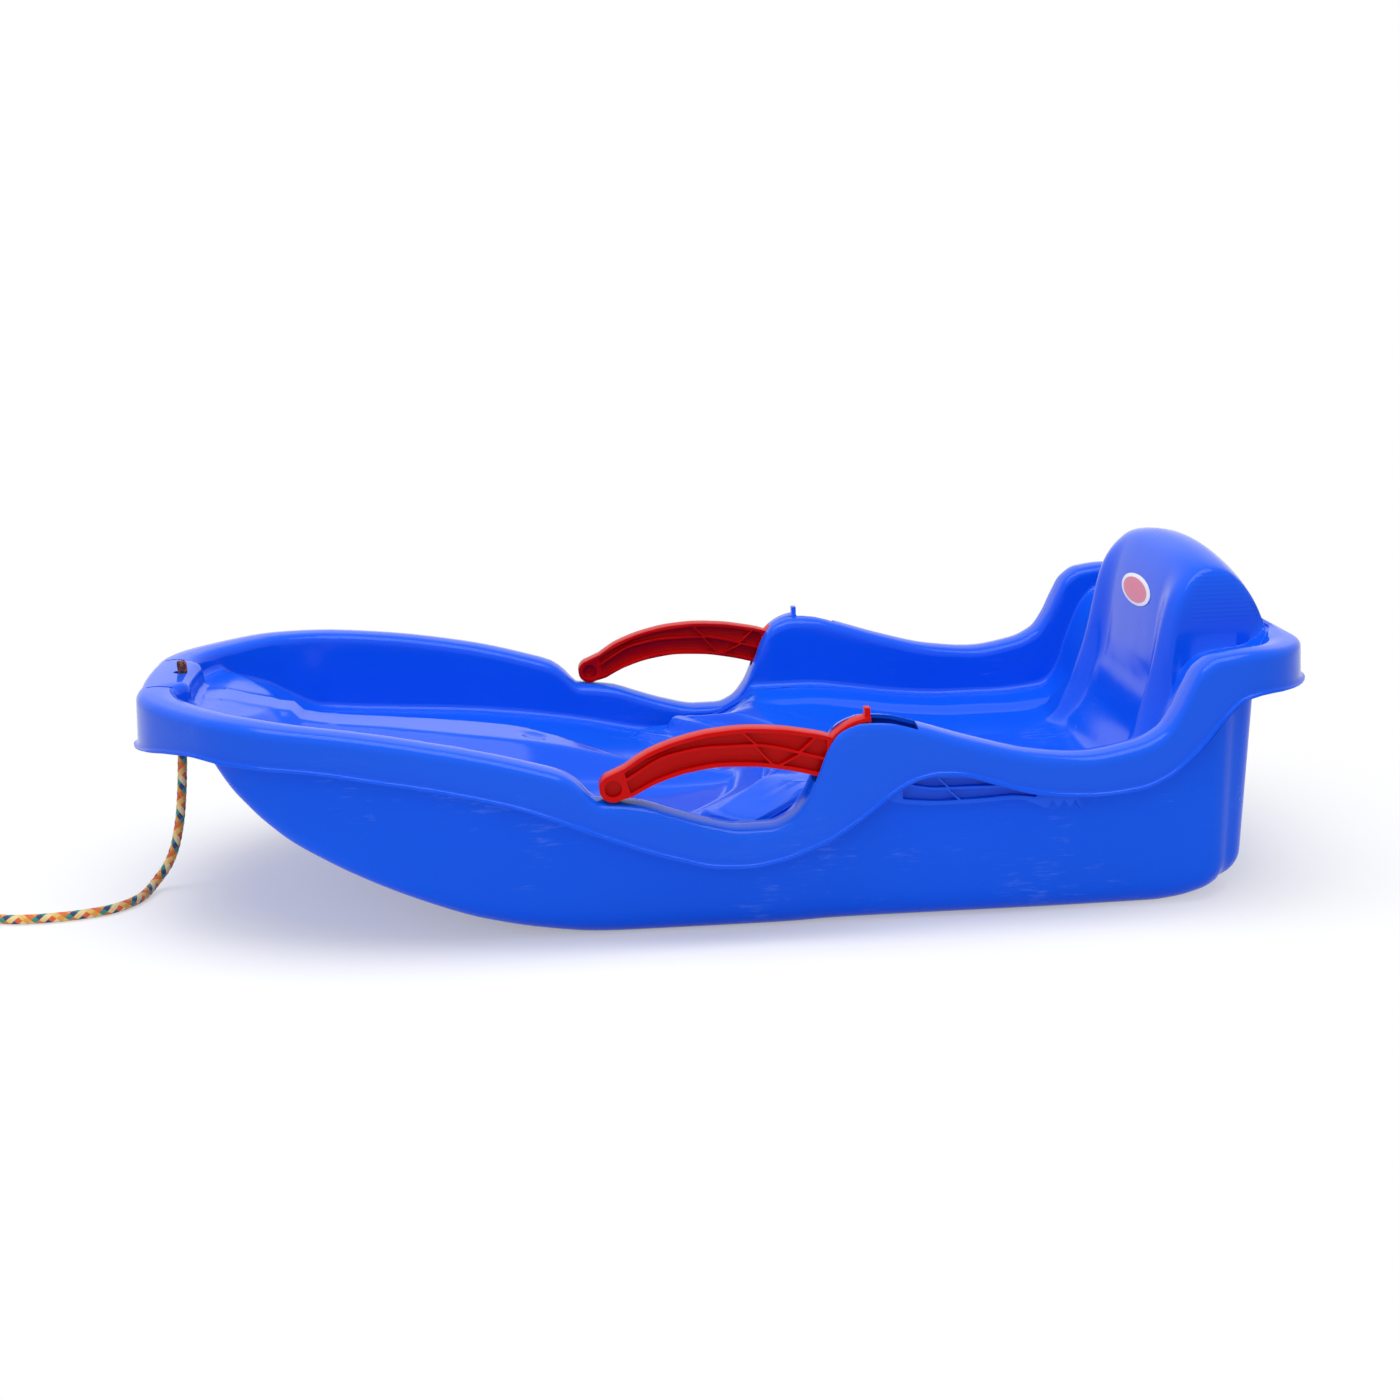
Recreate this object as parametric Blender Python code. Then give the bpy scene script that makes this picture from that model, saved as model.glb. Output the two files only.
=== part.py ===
"""Plastic bobsled: a moulded tub on a moulded hull, two brake levers on steel axles, a label and a tow rope.

Metres, +Z up, nose at -X, +Y to the rider's right. The origin is on the ground under the sled's middle.
"""
import math

import bmesh
import bpy
import numpy as np
from mathutils import Matrix, Vector
from mathutils.bvhtree import BVHTree

# Overall sizes
LENGTH = 0.930
WIDTH = 0.440
WALL = 0.003
HULL_WALL = 0.0028
GAP = 0.0003

# Rim section
LAND = 0.015
RIM_FILLET = 0.0085
END_FILLET = 0.0055
FLOOR_FILLET = 0.006
SKIRT_DRAFT = 0.045
WALL_DRAFT = 0.05
LIP_FLARE = 0.0032
LIP_HEIGHT = 0.004
NOSE_PAD = 0.020
NOSE_PAD_HALF = 0.040
NOSE_PAD_BLEND = 0.045
REAR_CORNER = 0.062
HOOD_FOOT_HALF = 0.110
HOOD_FOOT_BLEND = 0.030
HOOD_FOOT_SHARE = 0.15

# Brake levers
PIVOT_FROM_NOSE = 0.576
PIVOT_HEIGHT = 0.129
LEVER_WIDTH = 0.015
LEVER_INSET = 0.0025
LEVER_WEB = 0.003
LEVER_FLANGE = 0.0032
LEVER_RIB = 0.002
HUB_WIDTH = 0.011
TONGUE_RADIUS = 0.0440
GRIP_BOSS_RADIUS = 0.0105
LEVER_RANGE = math.radians(42)
SLOT_CLEARANCE = 0.0008
SLOT_DROP = 0.004
SLOT_END_GAP = 0.0012
TAB_THICK = 0.004
TAB_HEIGHT = 0.0065
TAB_ANGLE = math.radians(4)
HUB_CLEARANCE = 0.0005
HUB_RECESS = 0.0015
GRIP_TIP = (-0.199, -0.0020)
GRIP_EYE_RADIUS = 0.0065
ARM_REACH = 0.160
CLAW_TEETH = 3
CLAW_PITCH = 0.009

# Axles
AXLE_RADIUS = 0.004
BOSS_RADIUS = 0.0085

# Label
LABEL_HALF_WIDTH = 0.0260
LABEL_HALF_HEIGHT = 0.0145
LABEL_THICK = 0.0005
LABEL_HEIGHT = 0.221
LABEL_FROM_TAIL = 0.090

# Tow rope
ROPE_RADIUS = 0.004
ROPE_HOLE_RADIUS = 0.0052
ROPE_HOLE_FROM_NOSE = 0.032

KNOT_RADIUS = 0.0062
KNOT_SEAT = 0.0042
END_KNOT_RADIUS = 0.0060
COIL_TURNS = 3
COIL_TURN_GAP = 0.0009
COIL_TUCK = 0.013
COIL_RADIUS = 0.044
COIL_X = -0.655
COIL_Y = -0.131
COIL_START = math.radians(100)
COIL_HEIGHT = ROPE_RADIUS + 0.0024
TIE_ANGLE = math.radians(150)
TIE_GAP = 0.0009
TIE_THICK = 0.0012
TIE_WIDTH = 0.006

# Mesh density
SIDE_COLUMNS = 68
ACROSS = 12
BUSY_FRONT = 0.110
BUSY_STEPS = 2.2
BACK_LINES = (0.032, 0.060, 0.081, 0.092, 0.099, 0.104, 0.109, 0.114, 0.120, 0.130, 0.150)
HULL_COLUMNS = 44
HULL_ACROSS = 3
TUB_FRONT_FAN = 0.075
TUB_REAR_FAN = 0.030
HULL_FRONT_FAN = 0.110
HULL_REAR_FAN = 0.075

NOSE_X = -LENGTH / 2
TAIL_X = LENGTH / 2
PIVOT_X = NOSE_X + PIVOT_FROM_NOSE
INNER_EDGE = LAND + RIM_FILLET

# Plan outline of the nose: distance behind the land's tip, share of the land's half-width
NOSE_OUTLINE = [(0.0, 0.0), (0.0010, 0.16), (0.0038, 0.300), (0.0092, 0.400), (0.0190, 0.500),
                (0.0340, 0.600), (0.0520, 0.700), (0.0710, 0.788), (0.0955, 0.861), (0.125, 0.920),
                (0.170, 0.958), (0.215, 0.985), (0.262, 1.0)]


def smooth_curve(keys):
    """A curve through (position, value) keys that never overshoots them."""
    at, value = np.array(sorted(keys), float).T
    chord = np.diff(value) / np.diff(at)
    slope = np.zeros(len(at))
    slope[0] = chord[0]
    slope[-1] = chord[-1]
    turning = chord[:-1] * chord[1:] <= 0
    total = np.where(turning, 1.0, chord[:-1] + chord[1:])
    slope[1:-1] = np.where(turning, 0.0, 2 * chord[:-1] * chord[1:] / total)

    def read(x):
        x = np.clip(x, at[0], at[-1])
        i = np.clip(np.searchsorted(at, x) - 1, 0, len(chord) - 1)
        step = at[i + 1] - at[i]
        t = (x - at[i]) / step
        rise = value[i] * (1 + 2 * t) * (1 - t) ** 2 + value[i + 1] * t * t * (3 - 2 * t)
        return rise + step * (slope[i] * t * (1 - t) ** 2 - slope[i + 1] * t * t * (1 - t))

    return read


def smooth_step(x):
    x = np.clip(x, 0.0, 1.0)
    return x * x * (3 - 2 * x)


def smooth_max(a, b, blend):
    return (a + b + np.sqrt((a - b) ** 2 + blend ** 2)) / 2


def smooth_min(a, b, blend):
    return (a + b - np.sqrt((a - b) ** 2 + blend ** 2)) / 2


def from_nose(*keys):
    return [(NOSE_X + x, z) for x, z in keys]


def from_pivot(*keys):
    return [(PIVOT_X + x, z) for x, z in keys]


def from_tail(*keys):
    return [(TAIL_X - x, z) for x, z in keys]


# Height of the rim's land along the sled
land_height = smooth_curve(
    from_nose((0.0, 0.1862), (0.012, 0.1858), (0.035, 0.1848), (0.080, 0.1838), (0.120, 0.181),
              (0.160, 0.177), (0.200, 0.1716), (0.240, 0.1646), (0.280, 0.1561), (0.320, 0.145))
    + from_pivot((-0.234, 0.1375), (-0.2215, 0.1275), (-0.2115, 0.1168), (-0.198, 0.1152),
                 (-0.178, 0.1125), (-0.156, 0.105), (-0.130, 0.0965), (-0.100, 0.0903),
                 (-0.080, 0.0905), (-0.066, 0.096), (-0.054, 0.110), (-0.045, 0.130),
                 (-0.036, 0.152), (-0.026, 0.165), (-0.008, 0.1712), (0.008, 0.1705),
                 (0.035, 0.1635), (0.074, 0.151), (0.124, 0.1384))
    + from_tail((0.190, 0.1345), (0.150, 0.1405), (0.130, 0.150), (0.119, 0.165), (0.111, 0.182),
                (0.102, 0.198), (0.088, 0.207), (0.060, 0.210), (0.030, 0.209), (0.0, 0.208)))

# Height of the skirt's lower edge
skirt_height = smooth_curve(
    from_nose((0.0, 0.137), (0.008, 0.1395), (0.023, 0.1455), (0.045, 0.1515), (0.070, 0.1545),
              (0.095, 0.152), (0.146, 0.149), (0.205, 0.140), (0.248, 0.132), (0.307, 0.116))
    + from_pivot((-0.211, 0.092), (-0.181, 0.080), (-0.151, 0.070), (-0.121, 0.0625),
                 (-0.100, 0.0615), (-0.075, 0.065), (-0.045, 0.076), (-0.014, 0.094),
                 (0.017, 0.117), (0.032, 0.124), (0.048, 0.127), (0.063, 0.126),
                 (0.094, 0.117), (0.125, 0.108))
    + from_tail((0.198, 0.1045), (0.183, 0.104), (0.151, 0.107), (0.128, 0.116), (0.105, 0.136),
                (0.083, 0.162), (0.068, 0.1745), (0.050, 0.178), (0.0, 0.177)))


def rim_reach(x, fillet):
    """How far the skirt's lip stands out from the land's outer edge."""
    drop = land_height(x) - skirt_height(x) - fillet - LIP_HEIGHT
    return fillet + SKIRT_DRAFT * drop + LIP_FLARE


LAND_NOSE_X = NOSE_X + float(rim_reach(NOSE_X, END_FILLET))
LAND_TAIL_X = TAIL_X - float(rim_reach(TAIL_X, END_FILLET))
LAND_HALF = WIDTH / 2 - float(np.max(rim_reach(np.linspace(NOSE_X + 0.3, TAIL_X - 0.2, 400), RIM_FILLET)))
LEVER_Y = LAND_HALF - LEVER_INSET

# Inside floor of the foot well and the bow
floor_height = smooth_curve(
    from_nose((-0.010, 0.160), (0.045, 0.158), (0.057, 0.156), (0.087, 0.143), (0.106, 0.128),
              (0.130, 0.113), (0.200, 0.104), (0.255, 0.099), (0.314, 0.092), (0.370, 0.082))
    + from_pivot((-0.136, 0.067), (-0.096, 0.065), (0.0, 0.065)))

# Foot rests beside the ridge in the bow
rest_height = smooth_curve(
    from_nose((0.0, 0.1655), (0.064, 0.1650), (0.091, 0.1585), (0.110, 0.1545), (0.130, 0.151)))
rest_sweep = smooth_curve([(0.0, 0.0), (0.017, 0.0), (0.053, 0.010), (0.070, 0.024), (0.083, 0.039),
                           (0.092, 0.049)])
REST_LENGTH = 0.105
REST_OUTER = 0.092
REST_FALL = 1.2

# Top of the centre ridge between the legs, its flat half-width
ridge_height = smooth_curve(
    from_nose((0.040, 0.160), (0.064, 0.1625), (0.091, 0.1582), (0.110, 0.1548), (0.1245, 0.1525),
              (0.1290, 0.1455), (0.210, 0.1345), (0.270, 0.1265),
              (0.305, 0.121), (0.338, 0.113), (0.369, 0.103))
    + from_pivot((-0.177, 0.093), (-0.129, 0.082), (-0.086, 0.073), (-0.070, 0.060)))
ridge_half = smooth_curve(
    from_nose((0.040, 0.017), (0.124, 0.018), (0.210, 0.022), (0.270, 0.026), (0.305, 0.026),
              (0.338, 0.018), (0.369, 0.009))
    + from_pivot((-0.177, 0.003), (-0.086, 0.003)))
RIDGE_FALL = 0.85

# Seat: its surface, the border left round its hollow, and the curved steps that climb to it
seat_height = smooth_curve(
    from_pivot((-0.060, 0.102), (-0.006, 0.103), (0.040, 0.097), (0.088, 0.0895))
    + from_tail((0.220, 0.086), (0.170, 0.086), (0.135, 0.089)))
STEP_EDGES = (-0.092, -0.060, -0.040)
STEP_RISE = 0.0125
STEP_RUN = 0.011
step_sweep = smooth_curve([(0.0, 0.0), (0.050, 0.0093), (0.090, 0.030), (0.115, 0.048), (0.130, 0.058),
                           (0.142, 0.060), (0.153, 0.053), (0.163, 0.038), (0.172, 0.018), (0.180, 0.0)])
SWEEP_FRONT = 0.270
SWEEP_REAR = 0.170
SWEEP_BLEND = 0.150
SEAT_DISH = 0.006
SEAT_FRONT_BORDER = 0.001
SEAT_FRONT_RUN = 0.025
SEAT_BORDER = 0.127
SEAT_BORDER_RUN = 0.018

# Backrest: front face, top line, side fall, and the shoulders beside it
back_front = smooth_curve(
    from_tail((0.150, 0.070), (0.136, 0.090), (0.125, 0.116), (0.120, 0.136), (0.114, 0.162),
              (0.108, 0.189), (0.102, 0.214), (0.096, 0.236), (0.090, 0.256), (0.083, 0.274),
              (0.074, 0.292)))
BACK_HOLLOW = 0.013
BACK_HOLLOW_HALF = 0.100
BACK_TURN = 0.005
BACK_TURN_HALF = 0.100
BACK_TURN_FROM_TAIL = 0.118
BACK_TURN_RUN = 0.030
back_top = smooth_curve(
    from_tail((0.105, 0.2735), (0.085, 0.2755), (0.070, 0.2745), (0.050, 0.2695), (0.036, 0.2600),
              (0.026, 0.2470), (0.019, 0.2315), (0.0155, 0.2160), (0.013, 0.195), (0.0, 0.150)))
BACK_CROWN = 1.3
back_side = smooth_curve([(0.0, 0.340), (0.078, 0.296), (0.092, 0.273), (0.100, 0.253), (0.106, 0.230),
                          (0.111, 0.200), (0.118, 0.150), (0.126, 0.100), (0.140, 0.030)])
shoulder_height = smooth_curve(
    from_tail((0.140, 0.060), (0.128, 0.086), (0.112, 0.112), (0.100, 0.148), (0.088, 0.186),
              (0.074, 0.202), (0.060, 0.2055), (0.0, 0.2055)))

# Hull: bottom line, where its upper edge lies under the rim, and its corners
hull_bottom = smooth_curve(
    from_nose((0.040, 0.148), (0.060, 0.1435), (0.070, 0.1405), (0.083, 0.132), (0.096, 0.120),
              (0.107, 0.106), (0.118, 0.094), (0.137, 0.079), (0.152, 0.069), (0.181, 0.053),
              (0.226, 0.033), (0.272, 0.0165), (0.318, 0.006), (0.360, 0.0008), (0.390, 0.0))
    + from_tail((0.125, 0.0), (0.105, 0.0015), (0.085, 0.006), (0.066, 0.013), (0.050, 0.020)))
HULL_EDGE_DROP = 0.0125
HULL_CLEARANCE = 0.0018
HULL_PAD_SHIFT = 0.016
HULL_DRAFT = 0.045
HULL_FILLET = 0.022
HULL_REAR_FILLET = 0.028
HULL_REAR_INSET = 0.010
HULL_REAR_DROP = 0.014


# Where the axles and their bosses lie across the sled
SKIRT_FACE_Y = float(LAND_HALF + RIM_FILLET + SKIRT_DRAFT * (land_height(PIVOT_X) - RIM_FILLET - PIVOT_HEIGHT))
HULL_FACE_Y = float(LAND_HALF - INNER_EDGE + WALL + HULL_CLEARANCE + HULL_WALL
                    - HULL_DRAFT * (land_height(PIVOT_X) - HULL_EDGE_DROP - PIVOT_HEIGHT))
AXLE_OUT_Y = SKIRT_FACE_Y - 0.0022
AXLE_IN_Y = HULL_FACE_Y + 0.0015

# Lever edges and centre ribs about the pivot
grip_top = smooth_curve([(-0.208, 0.003), (-0.189, 0.021), (-0.173, 0.030), (-0.148, 0.038),
                         (-0.123, 0.042), (-0.099, 0.043), (-0.074, 0.041), (-0.050, 0.036),
                         (-0.037, 0.032), (-0.025, 0.026)])
grip_bottom = smooth_curve([(-0.187, -0.010), (-0.165, 0.001), (-0.141, 0.008), (-0.116, 0.011),
                            (-0.092, 0.010), (-0.067, 0.006), (-0.047, 0.001), (-0.030, -0.005)])
grip_rib = smooth_curve([(-0.190, 0.004), (-0.157, 0.0215), (-0.124, 0.0265), (-0.094, 0.0265),
                         (-0.044, 0.0150), (-0.025, 0.008)])
arm_top = smooth_curve([(0.0, 0.015), (0.013, 0.010), (0.034, -0.001), (0.066, -0.0035),
                        (0.104, -0.003), (0.134, -0.009), (0.152, -0.017)])
arm_bottom = smooth_curve([(0.0, -0.019), (0.013, -0.023), (0.032, -0.026), (0.051, -0.0275),
                           (0.084, -0.027), (0.104, -0.026), (0.135, -0.030)])
arm_rib = smooth_curve([(0.016, -0.006), (0.031, -0.012), (0.047, -0.0145), (0.084, -0.015),
                        (0.120, -0.0165), (0.140, -0.021)])
GRIP_START = (-0.178, -0.182, -0.186)
GRIP_CROSSES = [(-0.079, -0.091, -0.100), (-0.072, -0.057, -0.046)]
GRIP_END = (-0.036, -0.036, -0.036)
ARM_START = (0.020, 0.020, 0.020)
ARM_CROSSES = [(0.065, 0.056, 0.048)]
ARM_END = (0.125, 0.130, 0.134)


def hood_height(x, y):
    """Height of the backrest: a tall hood with a rounded edge and steep side panels."""
    away = np.abs(y)
    turned = smooth_step((x - TAIL_X + BACK_TURN_FROM_TAIL) / BACK_TURN_RUN)
    hollow = BACK_HOLLOW * np.clip(1 - (away / BACK_HOLLOW_HALF) ** 2, 0.0, 1.0) * (1 - turned)
    turn = BACK_TURN * (away / BACK_TURN_HALF) ** 4 * turned
    crown = back_top(x) - BACK_CROWN * y * y
    back = smooth_min(back_front(x - hollow - turn), crown, 0.008)
    return smooth_min(back, back_side(away), 0.006)


def swept(x, y):
    """How far a line across the tub is bowed towards the nose, so that it follows the steps."""
    into = smooth_step((x - PIVOT_X + SWEEP_FRONT) / SWEEP_BLEND)
    out = smooth_step((x - PIVOT_X + SWEEP_REAR - SWEEP_BLEND) / SWEEP_BLEND)
    return step_sweep(np.abs(y)) * into * (1 - out)


def inside_height(x, y):
    """Height of the tub's upper surface inside the rim."""
    away = np.abs(y)
    floor = floor_height(x)
    beyond = np.maximum(x + rest_sweep(away) - NOSE_X - REST_LENGTH, 0.0) + np.maximum(away - REST_OUTER, 0.0)
    rest = rest_height(x) - REST_FALL * beyond
    ridge = ridge_height(x) - RIDGE_FALL * np.maximum(away - ridge_half(x), 0.0)
    swept_x = x - PIVOT_X + step_sweep(away)
    climb = floor_height(PIVOT_X)
    for edge in STEP_EDGES:
        climb = climb + STEP_RISE * smooth_step((swept_x - edge) / STEP_RUN)
    border = smooth_step((away - SEAT_BORDER) / SEAT_BORDER_RUN)
    pan = smooth_step((swept_x - SEAT_FRONT_BORDER) / SEAT_FRONT_RUN) * (1 - border)
    seat = seat_height(x) - SEAT_DISH * pan
    base = smooth_max(floor, smooth_min(climb, seat, 0.003), 0.003)
    base = smooth_max(base, rest, 0.004)
    base = smooth_max(base, ridge, 0.004)
    base = smooth_max(base, shoulder_height(x), 0.010)
    return smooth_max(base, hood_height(x, y), 0.006)


def catmull(points, per_span):
    """A smooth curve through points, with the ends' tangents mirrored across them."""
    points = [np.array(p, float) for p in points]
    first = points[0] * 2 - points[1]
    last = points[-1] * 2 - points[-2]
    points = [first] + points + [last]
    out = []
    for a, b, c, d in zip(points, points[1:], points[2:], points[3:]):
        for t in np.arange(per_span) / per_span:
            out.append(0.5 * (2 * b + (c - a) * t + (2 * a - 5 * b + 4 * c - d) * t * t
                              + (3 * b - a - 3 * c + d) * t ** 3))
    out.append(points[-2])
    return out


def half_outline():
    """Plan outline of the land's outer edge from the nose to the tail on the +Y side, finely divided."""
    nose = [(LAND_NOSE_X + x, LAND_HALF * share) for x, share in NOSE_OUTLINE]
    mirrored = (nose[1][0], -nose[1][1])
    curve = catmull([mirrored] + nose, 24)[24:]
    corner_x = LAND_TAIL_X - REAR_CORNER
    corner_y = LAND_HALF - REAR_CORNER
    side = [np.array((x, LAND_HALF)) for x in np.linspace(nose[-1][0], corner_x, 240)[1:]]
    corner = [np.array((corner_x + REAR_CORNER * math.sin(a), corner_y + REAR_CORNER * math.cos(a)))
              for a in np.linspace(0, math.pi / 2, 30)[1:]]
    tail = [np.array((LAND_TAIL_X, y)) for y in np.linspace(corner_y, 0.0, 30)[1:]]
    points = np.array(curve + side + corner + tail)
    points[0, 1] = 0.0
    return points


def outline_stations(columns, busy=1.0):
    """Points and outward normals of the half outline, closer by the factor busy beside the steps."""
    fine = half_outline()
    heights = land_height(fine[:, 0])
    run = np.hypot(np.diff(fine[:, 0]), np.diff(fine[:, 1]))
    run = np.hypot(run, 1.3 * np.diff(heights))
    middle = (fine[1:, 0] + fine[:-1, 0]) / 2
    on_steps = (middle > PIVOT_X - BUSY_FRONT) & (middle < PIVOT_X) & (fine[1:, 1] > LAND_HALF / 2)
    run = run * np.where(on_steps, busy, 1.0)
    along = np.concatenate([[0.0], np.cumsum(run)])
    at = np.linspace(0.0, along[-1], columns + 1)
    tangent = np.gradient(fine, along, axis=0)
    tangent /= np.hypot(tangent[:, 0], tangent[:, 1])[:, None]
    points = np.stack([np.interp(at, along, fine[:, i]) for i in (0, 1)], axis=1)
    tangent = np.stack([np.interp(at, along, tangent[:, i]) for i in (0, 1)], axis=1)
    tangent /= np.hypot(tangent[:, 0], tangent[:, 1])[:, None]
    normal = np.stack([-tangent[:, 1], tangent[:, 0]], axis=1)
    points[0, 1] = points[-1, 1] = 0.0
    normal[0] = (-1.0, 0.0)
    normal[-1] = (1.0, 0.0)
    return points, normal


def whole_ring(points, normal, offset, height):
    """A closed ring: the half outline moved outwards by offset, at height, and its mirror image."""
    plan = points + normal * np.asarray(offset)[..., None] * np.ones((len(points), 1))
    half = np.column_stack([plan, height * np.ones(len(points))])
    half[0, 1] = half[-1, 1] = 0.0
    mirror = half[-2:0:-1] * (1, -1, 1)
    return np.vstack([half, mirror])


def surface_object(name, rings, inside, lines, bow, across, front, back, thickness, outside_up, material):
    """A sheet over rings, inner first, closed by a patch inside the first ring, with a wall's thickness."""
    mesh = bmesh.new()
    loops = [[mesh.verts.new(p) for p in ring] for ring in rings]
    first = rings[0]
    count = len(first)
    half = count // 2
    centres = {}
    columns = []
    for i in range(half + 1):
        x = min(max(first[i][0], front), back)
        key = round(x, 7)
        if key not in centres:
            centres[key] = mesh.verts.new((x, 0.0, float(inside(x, 0.0))))
        pair = []
        for rim in (i, (count - i) % count):
            column = [centres[key]]
            for k in range(1, across):
                share = lines(x, k)
                px = x + (first[rim][0] - x) * share
                py = first[rim][1] * share
                px -= bow(x, py)
                if abs(py) < 1e-9 and rim != i:
                    column.append(pair[0][k])
                else:
                    column.append(mesh.verts.new((px, py, float(inside(px, py)))))
            column.append(loops[0][rim])
            pair.append(column)
        if i in (0, half):
            pair[1] = pair[0]
        columns.append(pair)
    for before, after in zip(columns, columns[1:]):
        for side in (0, 1):
            a = before[side]
            b = after[side]
            for k in range(across):
                corners = [a[k], b[k], b[k + 1], a[k + 1]]
                kept = [v for j, v in enumerate(corners) if v is not corners[j - 1]]
                if side:
                    kept.reverse()
                mesh.faces.new(kept)
    for inner, outer in zip(loops, loops[1:]):
        for i in range(count):
            j = (i + 1) % count
            mesh.faces.new([inner[i], inner[j], outer[j], outer[i]])
    loose = [vert for vert in mesh.verts if not vert.link_faces]
    bmesh.ops.delete(mesh, geom=loose, context="VERTS")
    bmesh.ops.recalc_face_normals(mesh, faces=mesh.faces)
    mesh.normal_update()
    mesh.faces.ensure_lookup_table()
    if (mesh.faces[0].normal.z < 0) == outside_up:
        bmesh.ops.reverse_faces(mesh, faces=mesh.faces)
    give_wall(mesh, thickness)
    return object_from(name, mesh, material)


def give_wall(mesh, thickness):
    """Close an open sheet into a body: a copy of it set back along its normals, joined at its edge."""
    mesh.normal_update()
    edge = [e for e in mesh.edges if e.is_boundary]
    back = {}
    for vert in list(mesh.verts):
        facing = [max(vert.normal.dot(face.normal), 0.0) for face in vert.link_faces]
        spread = max(sum(facing) / len(facing), 0.8)
        back[vert] = mesh.verts.new(vert.co - vert.normal * (thickness / spread))
    for face in list(mesh.faces):
        mesh.faces.new([back[vert] for vert in reversed(face.verts)])
    for e in edge:
        a, b = e.verts
        loop = e.link_loops[0]
        if loop.vert is a:
            a, b = b, a
        mesh.faces.new([a, b, back[b], back[a]])


def object_from(name, mesh, material):
    data = bpy.data.meshes.new(name)
    mesh.to_mesh(data)
    mesh.free()
    data.materials.append(material)
    piece = bpy.data.objects.new(name, data)
    bpy.context.collection.objects.link(piece)
    return piece


def plastic(name, colour, roughness, metallic=0.0):
    material = bpy.data.materials.new(name)
    material.use_nodes = True
    shader = material.node_tree.nodes["Principled BSDF"]
    shader.inputs["Base Color"].default_value = (*colour, 1)
    shader.inputs["Roughness"].default_value = roughness
    shader.inputs["Metallic"].default_value = metallic
    return material


def nose_share(y):
    return smooth_step((NOSE_PAD_HALF + NOSE_PAD_BLEND - np.abs(y)) / NOSE_PAD_BLEND)


def tail_share(x):
    return smooth_step((x - TAIL_X + 0.045) / 0.030)


def rim_depth(x, y):
    """Share of the rim's inner side that is left where the backrest's foot covers it."""
    covered = smooth_step((HOOD_FOOT_HALF + HOOD_FOOT_BLEND - np.abs(y)) / HOOD_FOOT_BLEND)
    return 1 - (1 - HOOD_FOOT_SHARE) * covered * (x > LAND_TAIL_X - 0.02)


def tub_line(x, k):
    """Share of the half-width at which the tub's lengthwise line k runs; at the backrest it follows its side."""
    even = k / ACROSS
    beside = BACK_LINES[k - 1] / (LAND_HALF - INNER_EDGE - FLOOR_FILLET)
    blend = float(smooth_step((x - TAIL_X + 0.20) / 0.06))
    return even + (beside - even) * blend


def tub(material):
    points, normal = outline_stations(SIDE_COLUMNS, BUSY_STEPS)
    x, y = points.T
    pad = np.where(x < LAND_NOSE_X + 0.1, NOSE_PAD * nose_share(y), 0.0)
    land = land_height(x)
    inner = INNER_EDGE + pad
    depth = rim_depth(x, y)
    foot = points - normal * ((inner + FLOOR_FILLET) * depth)[:, None]
    floor = np.minimum(inside_height(foot[:, 0], foot[:, 1]), land - 0.0015)
    deep = land - floor
    wall_foot = inner + WALL_DRAFT * np.maximum(deep - RIM_FILLET - FLOOR_FILLET, 0.0)
    share = np.clip(deep / (RIM_FILLET + FLOOR_FILLET + 0.004), 0.0, 1.0)
    skirt = np.minimum(skirt_height(x), land - 0.02)
    round_out = RIM_FILLET + (END_FILLET - RIM_FILLET) * np.where(x < 0, nose_share(y), tail_share(x))
    skirt_foot = round_out + SKIRT_DRAFT * (land - skirt - round_out - LIP_HEIGHT)
    bend = 1 - math.sqrt(0.5)
    sections = [
        (-wall_foot - FLOOR_FILLET, floor),
        (-wall_foot - FLOOR_FILLET * bend, floor + FLOOR_FILLET * bend * share),
        (-wall_foot, floor + FLOOR_FILLET * share),
        (-inner, land - RIM_FILLET * share),
        (-inner + RIM_FILLET * bend, land - RIM_FILLET * bend * share),
        (-LAND - pad, land),
        (0.0 * x, land),
        (round_out * (1 - bend), land - round_out * bend),
        (round_out, land - round_out),
        (skirt_foot, skirt + LIP_HEIGHT),
        (skirt_foot + LIP_FLARE, skirt),
    ]
    rings = [whole_ring(points, normal, np.where(offset < 0, offset * depth, offset), height)
             for offset, height in sections]
    return surface_object("tub_shell", rings, inside_height, tub_line, swept, ACROSS, LAND_NOSE_X + TUB_FRONT_FAN,
                          LAND_TAIL_X - TUB_REAR_FAN, WALL, True, material)


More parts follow.
